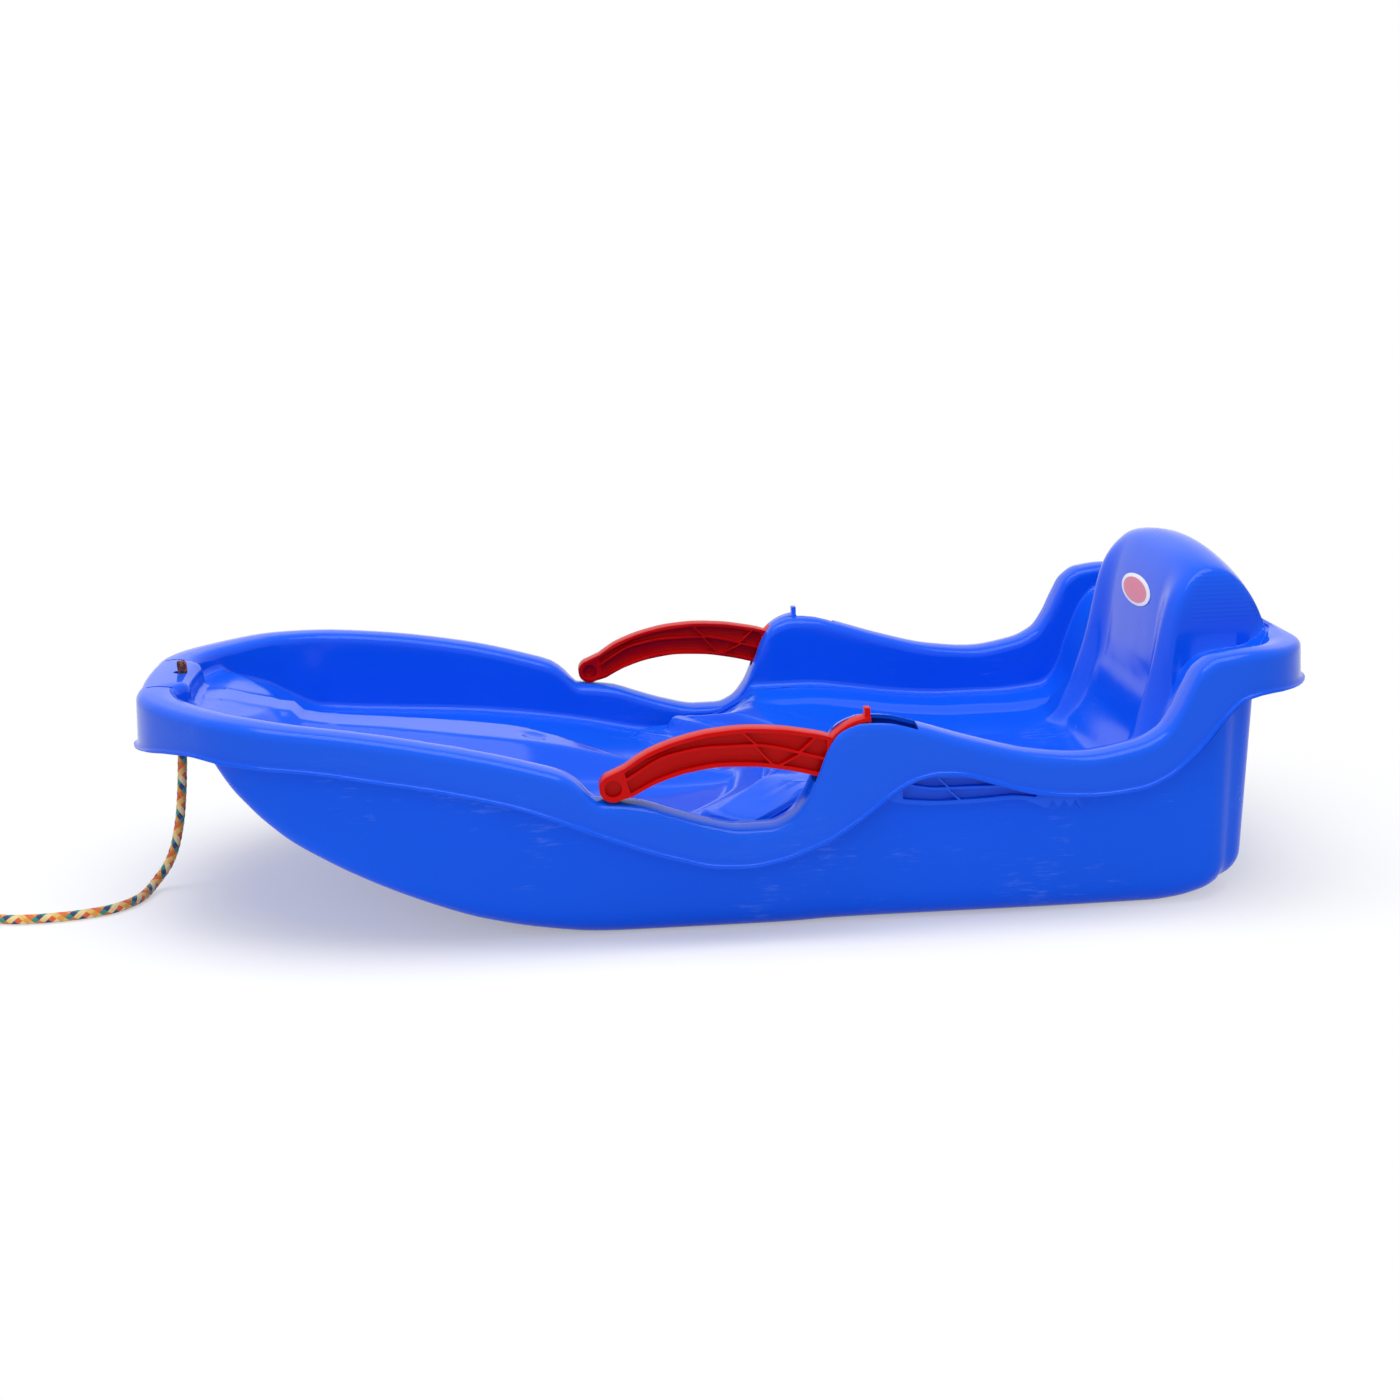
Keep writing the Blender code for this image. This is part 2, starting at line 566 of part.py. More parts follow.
def hull(material):
    points, normal = outline_stations(HULL_COLUMNS)
    x, y = points.T
    share = nose_share(np.abs(y) + HULL_PAD_SHIFT)
    pad = np.where(x < LAND_NOSE_X + 0.1, NOSE_PAD * share, 0.0)
    rear = smooth_step((x - TAIL_X + 0.10) / 0.04)
    inset = INNER_EDGE + pad - WALL - HULL_CLEARANCE - HULL_WALL
    inset = inset + HULL_REAR_INSET * smooth_step((x - TAIL_X + 0.085) / 0.035)
    edge = land_height(x) - HULL_EDGE_DROP - HULL_REAR_DROP * smooth_step((x - TAIL_X + 0.13) / 0.03)
    radius = HULL_FILLET + (HULL_REAR_FILLET - HULL_FILLET) * rear
    plan = points - normal * (inset + HULL_DRAFT * (edge - 0.05) + radius)[:, None]
    floor = hull_bottom(plan[:, 0])
    deep = edge - floor
    radius = np.minimum(radius, 0.6 * deep)
    foot = inset + HULL_DRAFT * (deep - radius)
    bend = 1 - math.sqrt(0.5)
    sections = [
        (-foot - radius, floor),
        (-foot - radius * bend, floor + radius * bend),
        (-foot, floor + radius),
        (-inset, edge),
    ]
    rings = [whole_ring(points, normal, offset, height) for offset, height in sections]
    piece = surface_object("hull_shell", rings, lambda px, py: hull_bottom(px),
                           lambda px, k: k / HULL_ACROSS, lambda px, py: 0.0, HULL_ACROSS,
                           LAND_NOSE_X + HULL_FRONT_FAN, LAND_TAIL_X - HULL_REAR_FAN, HULL_WALL, False, material)
    return piece


def cylinder_y(name, radius, low, high, x, z, segments, material):
    """A round bar along Y between two values of y."""
    mesh = bmesh.new()
    bmesh.ops.create_cone(mesh, cap_ends=True, segments=segments, radius1=radius, radius2=radius,
                          depth=abs(high - low))
    turn = Matrix.Rotation(math.pi / 2, 4, "X")
    bmesh.ops.transform(mesh, matrix=Matrix.Translation((x, (low + high) / 2, z)) @ turn,
                        verts=mesh.verts)
    return object_from(name, mesh, material)


def box(name, low, high, material):
    mesh = bmesh.new()
    bmesh.ops.create_cube(mesh, size=1.0)
    for vert in mesh.verts:
        vert.co = Vector([a if c < 0 else b for c, a, b in zip(vert.co, low, high)])
    return object_from(name, mesh, material)


def plates(name, outlines, low, high, material):
    """Flat plates between two values of y, one for each closed outline of (x, z) points."""
    mesh = bmesh.new()
    for outline in outlines:
        near = [mesh.verts.new((x, low, z)) for x, z in outline]
        far = [mesh.verts.new((x, high, z)) for x, z in outline]
        mesh.faces.new(near)
        mesh.faces.new(list(reversed(far)))
        for i in range(len(outline)):
            j = (i + 1) % len(outline)
            mesh.faces.new([near[j], near[i], far[i], far[j]])
    bmesh.ops.recalc_face_normals(mesh, faces=mesh.faces)
    return object_from(name, mesh, material)


def combine(piece, tool, operation):
    """Join a tool to a piece, or cut it away, and keep the tool as a hidden wire."""
    step = piece.modifiers.new(tool.name, "BOOLEAN")
    step.operation = operation
    step.object = tool
    step.solver = "EXACT"
    tool.hide_render = True
    tool.display_type = "WIRE"


def side_openings(tub_piece, hull_piece, side, material):
    """Slot in the hump, and the blind bosses in which one lever's axle sits."""
    name = "left" if side < 0 else "right"
    inner = LEVER_Y - LEVER_WIDTH / 2 - SLOT_CLEARANCE
    outer = LEVER_Y + LEVER_WIDTH / 2 + SLOT_CLEARANCE
    rear = PIVOT_X + TONGUE_RADIUS * math.sin(LEVER_RANGE + TAB_ANGLE) + SLOT_END_GAP
    low = (PIVOT_X - 0.075, min(side * inner, side * outer), PIVOT_HEIGHT - SLOT_DROP)
    high = (rear, max(side * inner, side * outer), PIVOT_HEIGHT + 0.08)
    combine(tub_piece, box("slot_cutter_" + name, low, high, material), "DIFFERENCE")
    skirt_in = LEVER_Y + HUB_WIDTH / 2 + HUB_CLEARANCE
    outer_boss = cylinder_y("skirt_boss_" + name, BOSS_RADIUS, side * skirt_in,
                            side * (SKIRT_FACE_Y - 0.0015), PIVOT_X, PIVOT_HEIGHT, 20, material)
    combine(tub_piece, outer_boss, "UNION")
    hole = AXLE_RADIUS + GAP
    bore = cylinder_y("skirt_bore_" + name, hole, side * (skirt_in - 0.002),
                      side * (AXLE_OUT_Y + GAP), PIVOT_X, PIVOT_HEIGHT, 20, material)
    combine(tub_piece, bore, "DIFFERENCE")
    hull_out = LEVER_Y - HUB_WIDTH / 2 - HUB_CLEARANCE
    inner_boss = cylinder_y("hull_boss_" + name, BOSS_RADIUS, side * (HULL_FACE_Y - 0.0015),
                            side * hull_out, PIVOT_X, PIVOT_HEIGHT, 20, material)
    combine(hull_piece, inner_boss, "UNION")
    bore = cylinder_y("hull_bore_" + name, hole, side * (AXLE_IN_Y - GAP),
                      side * (hull_out + 0.002), PIVOT_X, PIVOT_HEIGHT, 20, material)
    combine(hull_piece, bore, "DIFFERENCE")


def cell(low, high, left, right, steps=7):
    """A pocket between two edge curves; left and right give x at the lower and at the upper edge."""
    bottom = [(x, float(low(x))) for x in np.linspace(left[0], right[0], steps)]
    top = [(x, float(high(x))) for x in np.linspace(right[1], left[1], steps)]
    return bottom + top


def lever_pockets():
    """Outlines of the hollows on a lever's sides, between its flanges, centre rib and cross ribs."""
    rib = LEVER_RIB / 2

    def inside(curve, by):
        return lambda x: curve(x) + by

    low = inside(grip_bottom, LEVER_FLANGE)
    high = inside(grip_top, -LEVER_FLANGE)
    under = inside(grip_rib, -rib)
    over = inside(grip_rib, rib)
    cells = []
    ends = [GRIP_START] + list(GRIP_CROSSES) + [GRIP_END]
    for a, b in zip(ends, ends[1:]):
        cells.append(cell(low, under, (a[0] + rib, a[1] + rib), (b[0] - rib, b[1] - rib)))
        cells.append(cell(over, high, (a[1] + rib, a[2] + rib), (b[1] - rib, b[2] - rib)))
    low = inside(arm_bottom, LEVER_FLANGE)
    high = inside(arm_top, -LEVER_FLANGE)
    under = inside(arm_rib, -rib)
    over = inside(arm_rib, rib)
    ends = [ARM_START] + list(ARM_CROSSES) + [ARM_END]
    for a, b in zip(ends, ends[1:]):
        cells.append(cell(low, under, (a[0] + rib, a[1] + rib), (b[0] - rib, b[1] - rib), 5))
        cells.append(cell(over, high, (a[1] + rib, a[2] + rib), (b[1] - rib, b[2] - rib), 5))
    return cells


def lever_outline():
    """Side view of a lever about its pivot: grip, hub, rear arm and its toothed end."""
    tip = [(GRIP_TIP[0] + GRIP_BOSS_RADIUS * math.cos(a), GRIP_TIP[1] + GRIP_BOSS_RADIUS * math.sin(a))
           for a in np.linspace(math.radians(-60), math.radians(-255), 9)]
    top = [(x, float(grip_top(x))) for x in np.linspace(-0.190, -0.030, 17)]
    neck = [(-0.014, 0.022), (0.0, 0.0165)]
    upper = [(x, float(arm_top(x))) for x in np.linspace(0.012, ARM_END[2], 12)]
    teeth = [(ARM_REACH - 0.010, -0.016), (ARM_REACH - 0.002, -0.024), (ARM_REACH, -0.037)]
    for i in range(CLAW_TEETH):
        x = ARM_REACH - CLAW_PITCH * i
        teeth.append((x - CLAW_PITCH * 0.55, -0.0285))
        teeth.append((x - CLAW_PITCH, -0.0345))
    lower = [(x, float(arm_bottom(x))) for x in np.linspace(0.116, 0.014, 11)]
    heel = [(0.004, -0.0195), (-0.008, -0.016), (-0.020, -0.0105), (-0.032, -0.004)]
    under = [(x, float(grip_bottom(x))) for x in np.linspace(-0.045, -0.184, 15)]
    return tip + top + neck + upper + teeth + lower + heel + under


def tongue_outline():
    """The strip that covers the slot, its web down to the hub, and the upright tab at its end."""
    first = math.radians(140)
    last = math.pi / 2 + TAB_ANGLE
    rim = [(TONGUE_RADIUS * math.cos(a), TONGUE_RADIUS * math.sin(a))
           for a in np.linspace(first, last, 7)]
    inner = [((TONGUE_RADIUS - LEVER_FLANGE) * math.cos(a), (TONGUE_RADIUS - LEVER_FLANGE) * math.sin(a))
             for a in np.linspace(last, first, 7)]
    end = rim[-1]
    tab = [(end[0] - TAB_THICK, end[1] - 0.001), (end[0] - TAB_THICK, end[1] + TAB_HEIGHT),
           (end[0], end[1] + TAB_HEIGHT), (end[0], end[1] - 0.001)]
    web = [(-0.034, 0.024)] + [rim[1]] + [rim[-2]] + [(rim[-1][0], rim[-1][1] - 0.001), (0.004, 0.010)]
    return rim + inner, tab, web


def lever(side, material):
    """One brake lever, its origin on its pivot."""
    name = "left" if side < 0 else "right"
    half = LEVER_WIDTH / 2
    piece = plates("brake_lever_" + name, [lever_outline()], -half, half, material)
    cells = lever_pockets()
    for way, label in ((1, "outer"), (-1, "inner")):
        tool = plates(f"pocket_cutter_{label}_{name}", cells, way * LEVER_WEB / 2,
                      way * (half + 0.001), material)
        tool.parent = piece
        combine(piece, tool, "DIFFERENCE")
    strip, tab, web = tongue_outline()
    for label, outline, wide in (("strip", strip, half), ("web", web, LEVER_WEB / 2), ("tab", tab, half * 0.6)):
        tool = plates(f"{label}_{name}", [outline], -wide, wide, material)
        tool.parent = piece
        combine(piece, tool, "UNION")
    for way, label in ((1, "outer"), (-1, "inner")):
        tool = cylinder_y(f"hub_recess_{label}_{name}", BOSS_RADIUS + HUB_RECESS, way * HUB_WIDTH / 2,
                          way * (half + 0.001), 0.0, 0.0, 24, material)
        tool.parent = piece
        combine(piece, tool, "DIFFERENCE")
        tool = cylinder_y(f"tip_ring_{label}_{name}", GRIP_EYE_RADIUS, way * LEVER_WEB / 2,
                          way * (half + 0.001), GRIP_TIP[0], GRIP_TIP[1], 16, material)
        tool.parent = piece
        combine(piece, tool, "DIFFERENCE")
    tool = cylinder_y(f"hub_bore_{name}", AXLE_RADIUS + GAP, -half - 0.001, half + 0.001, 0.0, 0.0, 20,
                      material)
    tool.parent = piece
    combine(piece, tool, "DIFFERENCE")
    piece.location = (PIVOT_X, side * LEVER_Y, PIVOT_HEIGHT)
    return piece


def axle(side, material):
    name = "left" if side < 0 else "right"
    piece = cylinder_y("brake_axle_" + name, AXLE_RADIUS, side * AXLE_IN_Y, side * AXLE_OUT_Y,
                       PIVOT_X, PIVOT_HEIGHT, 20, material)
    return piece


def label(tub_piece, material):
    """An oval sticker that follows the backrest's front face."""
    bpy.context.view_layer.update()
    graph = bpy.context.evaluated_depsgraph_get()
    surface = BVHTree.FromObject(tub_piece, graph)
    mesh = bmesh.new()
    normal = Vector((-1.0, 0.0, 0.30)).normalized()
    up = Vector((normal.z, 0.0, -normal.x))
    centre = Vector((TAIL_X - LABEL_FROM_TAIL, 0.0, LABEL_HEIGHT))
    rings = 3
    around = 28
    rows = []
    for level in (GAP, GAP + LABEL_THICK):
        hub = None
        loops = []
        for r in range(rings + 1):
            loop = []
            for k in range(around if r else 1):
                a = 2 * math.pi * k / around
                flat = Vector((0.0, math.cos(a) * LABEL_HALF_WIDTH * r / rings, 0.0))
                flat += up * (math.sin(a) * LABEL_HALF_HEIGHT * r / rings)
                hit, face, _, _ = surface.ray_cast(centre + flat + normal * 0.06, -normal)
                loop.append(mesh.verts.new(hit + normal * level))
            loops.append(loop)
        rows.append(loops)
    for top, loops in enumerate(rows):
        for k in range(around):
            j = (k + 1) % around
            faces = [[loops[0][0], loops[1][k], loops[1][j]]]
            for a, b in zip(loops[1:], loops[2:]):
                faces.append([a[k], b[k], b[j], a[j]])
            for face in faces:
                mesh.faces.new(face if top else face[::-1])
    for k in range(around):
        j = (k + 1) % around
        mesh.faces.new([rows[0][-1][k], rows[0][-1][j], rows[1][-1][j], rows[1][-1][k]])
    bmesh.ops.recalc_face_normals(mesh, faces=mesh.faces)
    return object_from("backrest_label", mesh, material)


def tube(name, points, radius, resolution, material):
    """A round cord along points, closed at both ends."""
    curve = bpy.data.curves.new(name, "CURVE")
    curve.dimensions = "3D"
    curve.bevel_depth = radius
    curve.bevel_resolution = resolution
    curve.use_fill_caps = True
    curve.twist_mode = "Z_UP"
    spline = curve.splines.new("POLY")
    spline.points.add(len(points) - 1)
    for point, at in zip(spline.points, points):
        point.co = (*at, 1.0)
    curve.materials.append(material)
    piece = bpy.data.objects.new(name, curve)
    bpy.context.collection.objects.link(piece)
    return piece


def evenly(points, step):
    """Points at equal steps along a path."""
    points = np.array(points, float)
    along = np.concatenate([[0.0], np.cumsum(np.linalg.norm(np.diff(points, axis=0), axis=1))])
    count = max(int(round(along[-1] / step)), 2)
    at = np.linspace(0.0, along[-1], count + 1)
    return np.stack([np.interp(at, along, points[:, i]) for i in range(3)], axis=1)


def coil_centre_line():
    """A flat coil wound inwards on the ground: one diameter straight, the turns, one diameter straight."""
    turns = np.linspace(0.0, COIL_TURNS * 2 * math.pi, COIL_TURNS * 24 + 1)
    pitch = 2 * ROPE_RADIUS + COIL_TURN_GAP
    outer = COIL_RADIUS + pitch * COIL_TURNS / 2
    radius = outer - pitch * turns / (2 * math.pi)
    radius -= COIL_TUCK * smooth_step((turns - turns[-1]) / math.pi + 1.0)
    angle = COIL_START + turns
    x = COIL_X + radius * np.cos(angle)
    y = COIL_Y + radius * np.sin(angle)
    z = np.full(len(x), COIL_HEIGHT)
    line = np.stack([x, y, z], axis=1)
    first = line[0] - line[1]
    last = line[-1] - line[-2]
    first *= 2 * ROPE_RADIUS / np.linalg.norm(first)
    last *= 2 * ROPE_RADIUS / np.linalg.norm(last)
    return np.vstack([line[0] + first, line, line[-1] + last])


def least_gap(line, radius):
    """Smallest clear distance between parts of a cord that are more than half a turn apart."""
    fine = evenly(line, 0.001)
    apart = int(0.08 / 0.001)
    least = 1.0
    for i in range(0, len(fine) - apart, 3):
        away = np.linalg.norm(fine[i + apart:] - fine[i], axis=1)
        least = min(least, float(away.min()))
    return least - 2 * radius


def lump(name, centre, size, material):
    """A stopper knot: a round body with the bulges of the cord's passes."""
    mesh = bmesh.new()
    bmesh.ops.create_uvsphere(mesh, u_segments=16, v_segments=8, radius=1.0)
    for vert in mesh.verts:
        around = math.atan2(vert.co.y, vert.co.x)
        swell = 1.0 - 0.06 + 0.06 * math.cos(3 * around + 4 * vert.co.z)
        vert.co = Vector((vert.co.x * size[0] * swell, vert.co.y * size[1] * swell, vert.co.z * size[2]))
        vert.co += Vector(centre)
    return object_from(name, mesh, material)


def rope(material, tie_material):
    """Knot in the nose, the free rope down to the ground, its coil, the tie round it, and its end knot."""
    hole_x = NOSE_X + ROPE_HOLE_FROM_NOSE
    knot_z = float(land_height(LAND_NOSE_X)) + KNOT_SEAT
    lump("rope_knot", (hole_x, 0.0, knot_z), (KNOT_RADIUS, KNOT_RADIUS, KNOT_RADIUS), material)
    coil = coil_centre_line()
    start = coil[0]
    lead = coil[0] - coil[1]
    lead /= np.linalg.norm(lead)
    bottom = ROPE_RADIUS
    path = [(hole_x, 0.0, knot_z - KNOT_RADIUS - GAP), (hole_x, 0.0, 0.165), (hole_x - 0.002, 0.0, 0.140),
            (hole_x - 0.004, 0.0, 0.112), (hole_x - 0.0075, 0.0, 0.078), (hole_x - 0.0125, 0.0, 0.050),
            (hole_x - 0.0205, 0.0, 0.026), (hole_x - 0.031, -0.002, 0.011),
            (hole_x - 0.038, -0.018, bottom + 0.0008), (hole_x - 0.044, -0.038, bottom),
            (hole_x - 0.062, -0.060, bottom), (hole_x - 0.098, -0.072, bottom),
            (hole_x - 0.140, -0.072, bottom),
            tuple(start + lead * 0.050 * (1, 1, 0) - (0, 0, COIL_HEIGHT - bottom)),
            tuple(start + lead * 0.020), tuple(start + lead * GAP)]
    line = evenly(catmull(path, 10), 0.014)
    line[:, 2] = np.maximum(line[:, 2], bottom)
    tube("tow_rope", line, ROPE_RADIUS, 2, material)
    tube("rope_coil", coil, ROPE_RADIUS, 1, material)
    print("least gap of the coil to itself: %.2f mm" % (1000 * least_gap(coil, ROPE_RADIUS)))
    end = coil[-1] - coil[-2]
    end /= np.linalg.norm(end)
    knot = coil[-1] + end * (END_KNOT_RADIUS + GAP)
    lump("rope_end_knot", knot, (END_KNOT_RADIUS, END_KNOT_RADIUS, ROPE_RADIUS + 0.0015), material)
    tie(tie_material)


def tie(material):
    """A band round the coil's turns, on the far side of its middle."""
    pitch = 2 * ROPE_RADIUS + COIL_TURN_GAP
    angle = COIL_START + TIE_ANGLE
    shift = pitch * TIE_ANGLE / (2 * math.pi)
    first = COIL_RADIUS - pitch * COIL_TURNS / 2 - shift + pitch
    last = COIL_RADIUS + pitch * COIL_TURNS / 2 - shift
    out = Vector((math.cos(angle), math.sin(angle), 0.0))
    along = Vector((-math.sin(angle), math.cos(angle), 0.0))
    centre = Vector((COIL_X, COIL_Y, COIL_HEIGHT)) + out * ((first + last) / 2)
    half = (last - first) / 2
    mesh = bmesh.new()
    loops = []
    for radius, across in ((ROPE_RADIUS + TIE_GAP, -1), (ROPE_RADIUS + TIE_GAP, 1),
                           (ROPE_RADIUS + TIE_GAP + TIE_THICK, 1), (ROPE_RADIUS + TIE_GAP + TIE_THICK, -1)):
        loop = []
        for end in (1, -1):
            for a in np.linspace(-math.pi / 2, math.pi / 2, 9):
                flat = out * (end * (half + radius * math.cos(a)))
                rise = Vector((0.0, 0.0, end * radius * math.sin(a)))
                loop.append(mesh.verts.new(centre + flat + rise + along * (across * TIE_WIDTH / 2)))
        loops.append(loop)
    for a, b in zip(loops, loops[1:] + loops[:1]):
        for i in range(len(a)):
            j = (i + 1) % len(a)
            mesh.faces.new([a[i], a[j], b[j], b[i]])
    bmesh.ops.recalc_face_normals(mesh, faces=mesh.faces)
    return object_from("coil_tie", mesh, material)


def main():
    for old in list(bpy.data.objects):
        bpy.data.objects.remove(old, do_unlink=True)
    blue = plastic("blue_polyethylene", (0.006, 0.085, 0.64), 0.25)
    blue_hull = plastic("blue_polyethylene_hull", (0.006, 0.080, 0.62), 0.28)
    red = plastic("red_polypropylene", (0.58, 0.010, 0.008), 0.35)
    steel = plastic("zinc_plated_steel", (0.62, 0.62, 0.60), 0.32, 1.0)
    braid = plastic("rope_braid", (0.75, 0.33, 0.12), 0.85)
    band = plastic("black_tie", (0.02, 0.02, 0.02), 0.6)
    vinyl = plastic("printed_vinyl", (0.80, 0.12, 0.16), 0.4)
    tub_piece = tub(blue)
    hull_piece = hull(blue_hull)
    for side in (-1, 1):
        side_openings(tub_piece, hull_piece, side, blue)
    hole_x = NOSE_X + ROPE_HOLE_FROM_NOSE
    mesh = bmesh.new()
    bmesh.ops.create_cone(mesh, cap_ends=True, segments=20, radius1=ROPE_HOLE_RADIUS,
                          radius2=ROPE_HOLE_RADIUS, depth=0.03)
    bmesh.ops.translate(mesh, vec=(hole_x, 0.0, float(land_height(LAND_NOSE_X))), verts=mesh.verts)
    combine(tub_piece, object_from("rope_hole_cutter", mesh, blue), "DIFFERENCE")
    for side in (-1, 1):
        lever(side, red)
        axle(side, steel)
    label(tub_piece, vinyl)
    rope(braid, band)


main()
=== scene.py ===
"""Plastic bobsled: a glossy blue tub on a moulded hull, two red brake levers, a label and a tow rope."""
import math

import bmesh
import bpy
import numpy as np
from mathutils import Matrix, Vector
from mathutils.bvhtree import BVHTree


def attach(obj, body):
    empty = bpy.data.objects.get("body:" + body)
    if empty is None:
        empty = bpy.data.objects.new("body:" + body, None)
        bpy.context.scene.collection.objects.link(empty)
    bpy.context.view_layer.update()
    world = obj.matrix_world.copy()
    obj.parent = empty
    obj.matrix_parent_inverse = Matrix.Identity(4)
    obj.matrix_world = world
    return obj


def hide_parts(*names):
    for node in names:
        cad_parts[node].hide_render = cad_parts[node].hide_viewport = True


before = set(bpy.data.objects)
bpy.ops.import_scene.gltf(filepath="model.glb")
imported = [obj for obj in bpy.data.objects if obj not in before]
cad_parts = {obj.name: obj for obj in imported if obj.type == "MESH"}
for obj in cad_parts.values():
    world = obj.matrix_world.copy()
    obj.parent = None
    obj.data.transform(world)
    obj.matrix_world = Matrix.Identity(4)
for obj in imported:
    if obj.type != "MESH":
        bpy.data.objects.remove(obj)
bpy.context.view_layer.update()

# Overall sizes, in metres
LENGTH = 0.930
WIDTH = 0.440
WALL = 0.003
HULL_WALL = 0.0028
GAP = 0.0003

# Rim section. A pair named STARTS or ENDS is a distance from the tail and the run of the change
LAND = 0.015
RIM_FILLET = 0.0085
END_FILLET = 0.0055
FLOOR_FILLET = 0.006
SKIRT_DRAFT = 0.045
WALL_DRAFT = 0.05
LIP_FLARE = 0.0032
LIP_HEIGHT = 0.004
NOSE_PAD = 0.010
NOSE_PAD_HALF = 0.040
NOSE_PAD_BLEND = 0.014
NOSE_PAD_REACH = 0.1
REAR_CORNER = 0.062
TAIL_ROUND_STARTS = (0.045, 0.030)
LAND_CROWN = 0.0008
LIP_ROUND = 0.72
FLOOR_UNDER_LAND = 0.0015
FILLET_ROOM = 0.004
SKIRT_LEAST = 0.02
PAD_GROOVE = (0.013, 0.036)
PAD_GROOVE_Y = 0.051
PAD_GROOVE_HALF = 0.0013
PAD_GROOVE_DEEP = 0.0012
DIMPLE_AHEAD = 0.247
DIMPLE_HEIGHT = 0.1170
DIMPLE_RADIUS = 0.0105
DIMPLE_BALL = 0.034
HOOD_FOOT_HALF = 0.106
HOOD_FOOT_BLEND = 0.048
HOOD_FOOT_SHARE = 0.15
HOOD_FOOT_REACH = 0.02

# Brake levers; places on a lever are measured from its pivot
PIVOT_FROM_NOSE = 0.576
PIVOT_HEIGHT = 0.129
LEVER_WIDTH = 0.015
LEVER_INSET = 0.0025
LEVER_WEB = 0.003
LEVER_FLANGE = 0.0032
LEVER_RIB = 0.002
LEVER_EDGE = 0.00045
BLUE_FROM = 0.005
BLUE_TONGUE_FROM = -0.028
BLUE_TONGUE_ABOVE = 0.018
HUB_WIDTH = 0.011
TONGUE_RADIUS = 0.0440
GRIP_BOSS_RADIUS = 0.0105
LEVER_RANGE = math.radians(42)
SLOT_CLEARANCE = 0.0008
SLOT_AHEAD = 0.075
SLOT_RISE = 0.08
SLOT_DROP = 0.004
SLOT_END_GAP = 0.0012
TAB_SHARE = 0.6
TAB_THICK = 0.004
TAB_HEIGHT = 0.0065
TAB_ANGLE = math.radians(4)
HUB_CLEARANCE = 0.0005
HUB_RECESS = 0.0015
GRIP_TIP = (-0.199, -0.0020)
GRIP_EYE_RADIUS = 0.0065
ARM_REACH = 0.160
CLAW_TEETH = 3
CLAW_PITCH = 0.009
AXLE_RADIUS = 0.004
BOSS_RADIUS = 0.0085
BOSS_SINK = 0.0015
BORE_PAST = 0.002

# Label
LABEL_HALF_WIDTH = 0.0400
LABEL_HALF_HEIGHT = 0.0126
LABEL_THICK = 0.0005
LABEL_HEIGHT = 0.221
LABEL_FROM_TAIL = 0.090
LABEL_LEAN = 0.30
LABEL_RINGS = 10
LABEL_AROUND = 72
LABEL_EDGE_FALL = 0.55
LABEL_FIELD_OFF = (0.0012, -0.0002)
LABEL_FIELD_SQUASH = 0.958
LABEL_FIELD_EDGE = (0.80, 0.835)
LABEL_AIM_FROM = 0.06
LABEL_SMOOTH_ANGLE = 40

# Tow rope
ROPE_RADIUS = 0.004
ROPE_HOLE_RADIUS = 0.0052
ROPE_HOLE_FROM_NOSE = 0.032
ROPE_SIDES = 28
ROPE_STEP = 0.00125
BRAID_STRANDS = 4
BRAID_PITCH = 0.026
KNOT_RADIUS = 0.0062
KNOT_SEAT = 0.0042
KNOT_AFT = 0.002
KNOT_SIZE = (0.0044, 0.0040, KNOT_RADIUS)
KNOT_CORD = 0.0019
END_KNOT_RADIUS = 0.0060
END_KNOT_SIZE = (END_KNOT_RADIUS, END_KNOT_RADIUS, 0.0055)
END_KNOT_CORD = 0.0021
COIL_TURNS = 3
COIL_TURN_GAP = 0.0009
COIL_TUCK = 0.013
COIL_RADIUS = 0.044
COIL_X = -0.655
COIL_Y = -0.131
COIL_START = math.radians(100)
COIL_HEIGHT = ROPE_RADIUS + 0.0024

# Mesh density of the two shells, and how far from nose and tail their inner rows begin to fan out
SIDE_COLUMNS = 258
ACROSS = 59
HOOD_LINES = (0.055, 0.128)
HOOD_LINE_LIMITS = (0.70, 0.95)
HOOD_LINE_MARKS = (0.0, 0.16, 0.84, 0.92, 1.0)
HOOD_LINES_START = (0.20, 0.06)
TUB_FAN = (0.075, 0.014)
HULL_FAN = (0.11, 0.075)
HULL_COLUMNS = 200
HULL_ACROSS = 20
FILLET_STEPS = 6
SHELL_SMOOTH_ANGLE = 38
LEVER_SMOOTH_ANGLE = 40

NOSE_X = -LENGTH / 2
TAIL_X = LENGTH / 2
PIVOT_X = NOSE_X + PIVOT_FROM_NOSE
ROPE_X = NOSE_X + ROPE_HOLE_FROM_NOSE
INNER_EDGE = LAND + RIM_FILLET
NOSE_OUTLINE = [(0.0, 0.0), (0.0010, 0.16), (0.0038, 0.300), (0.0092, 0.400), (0.0190, 0.500),
                (0.0340, 0.600), (0.0520, 0.700), (0.0710, 0.788), (0.0955, 0.861), (0.125, 0.920),
                (0.170, 0.958), (0.215, 0.985), (0.262, 1.0)]


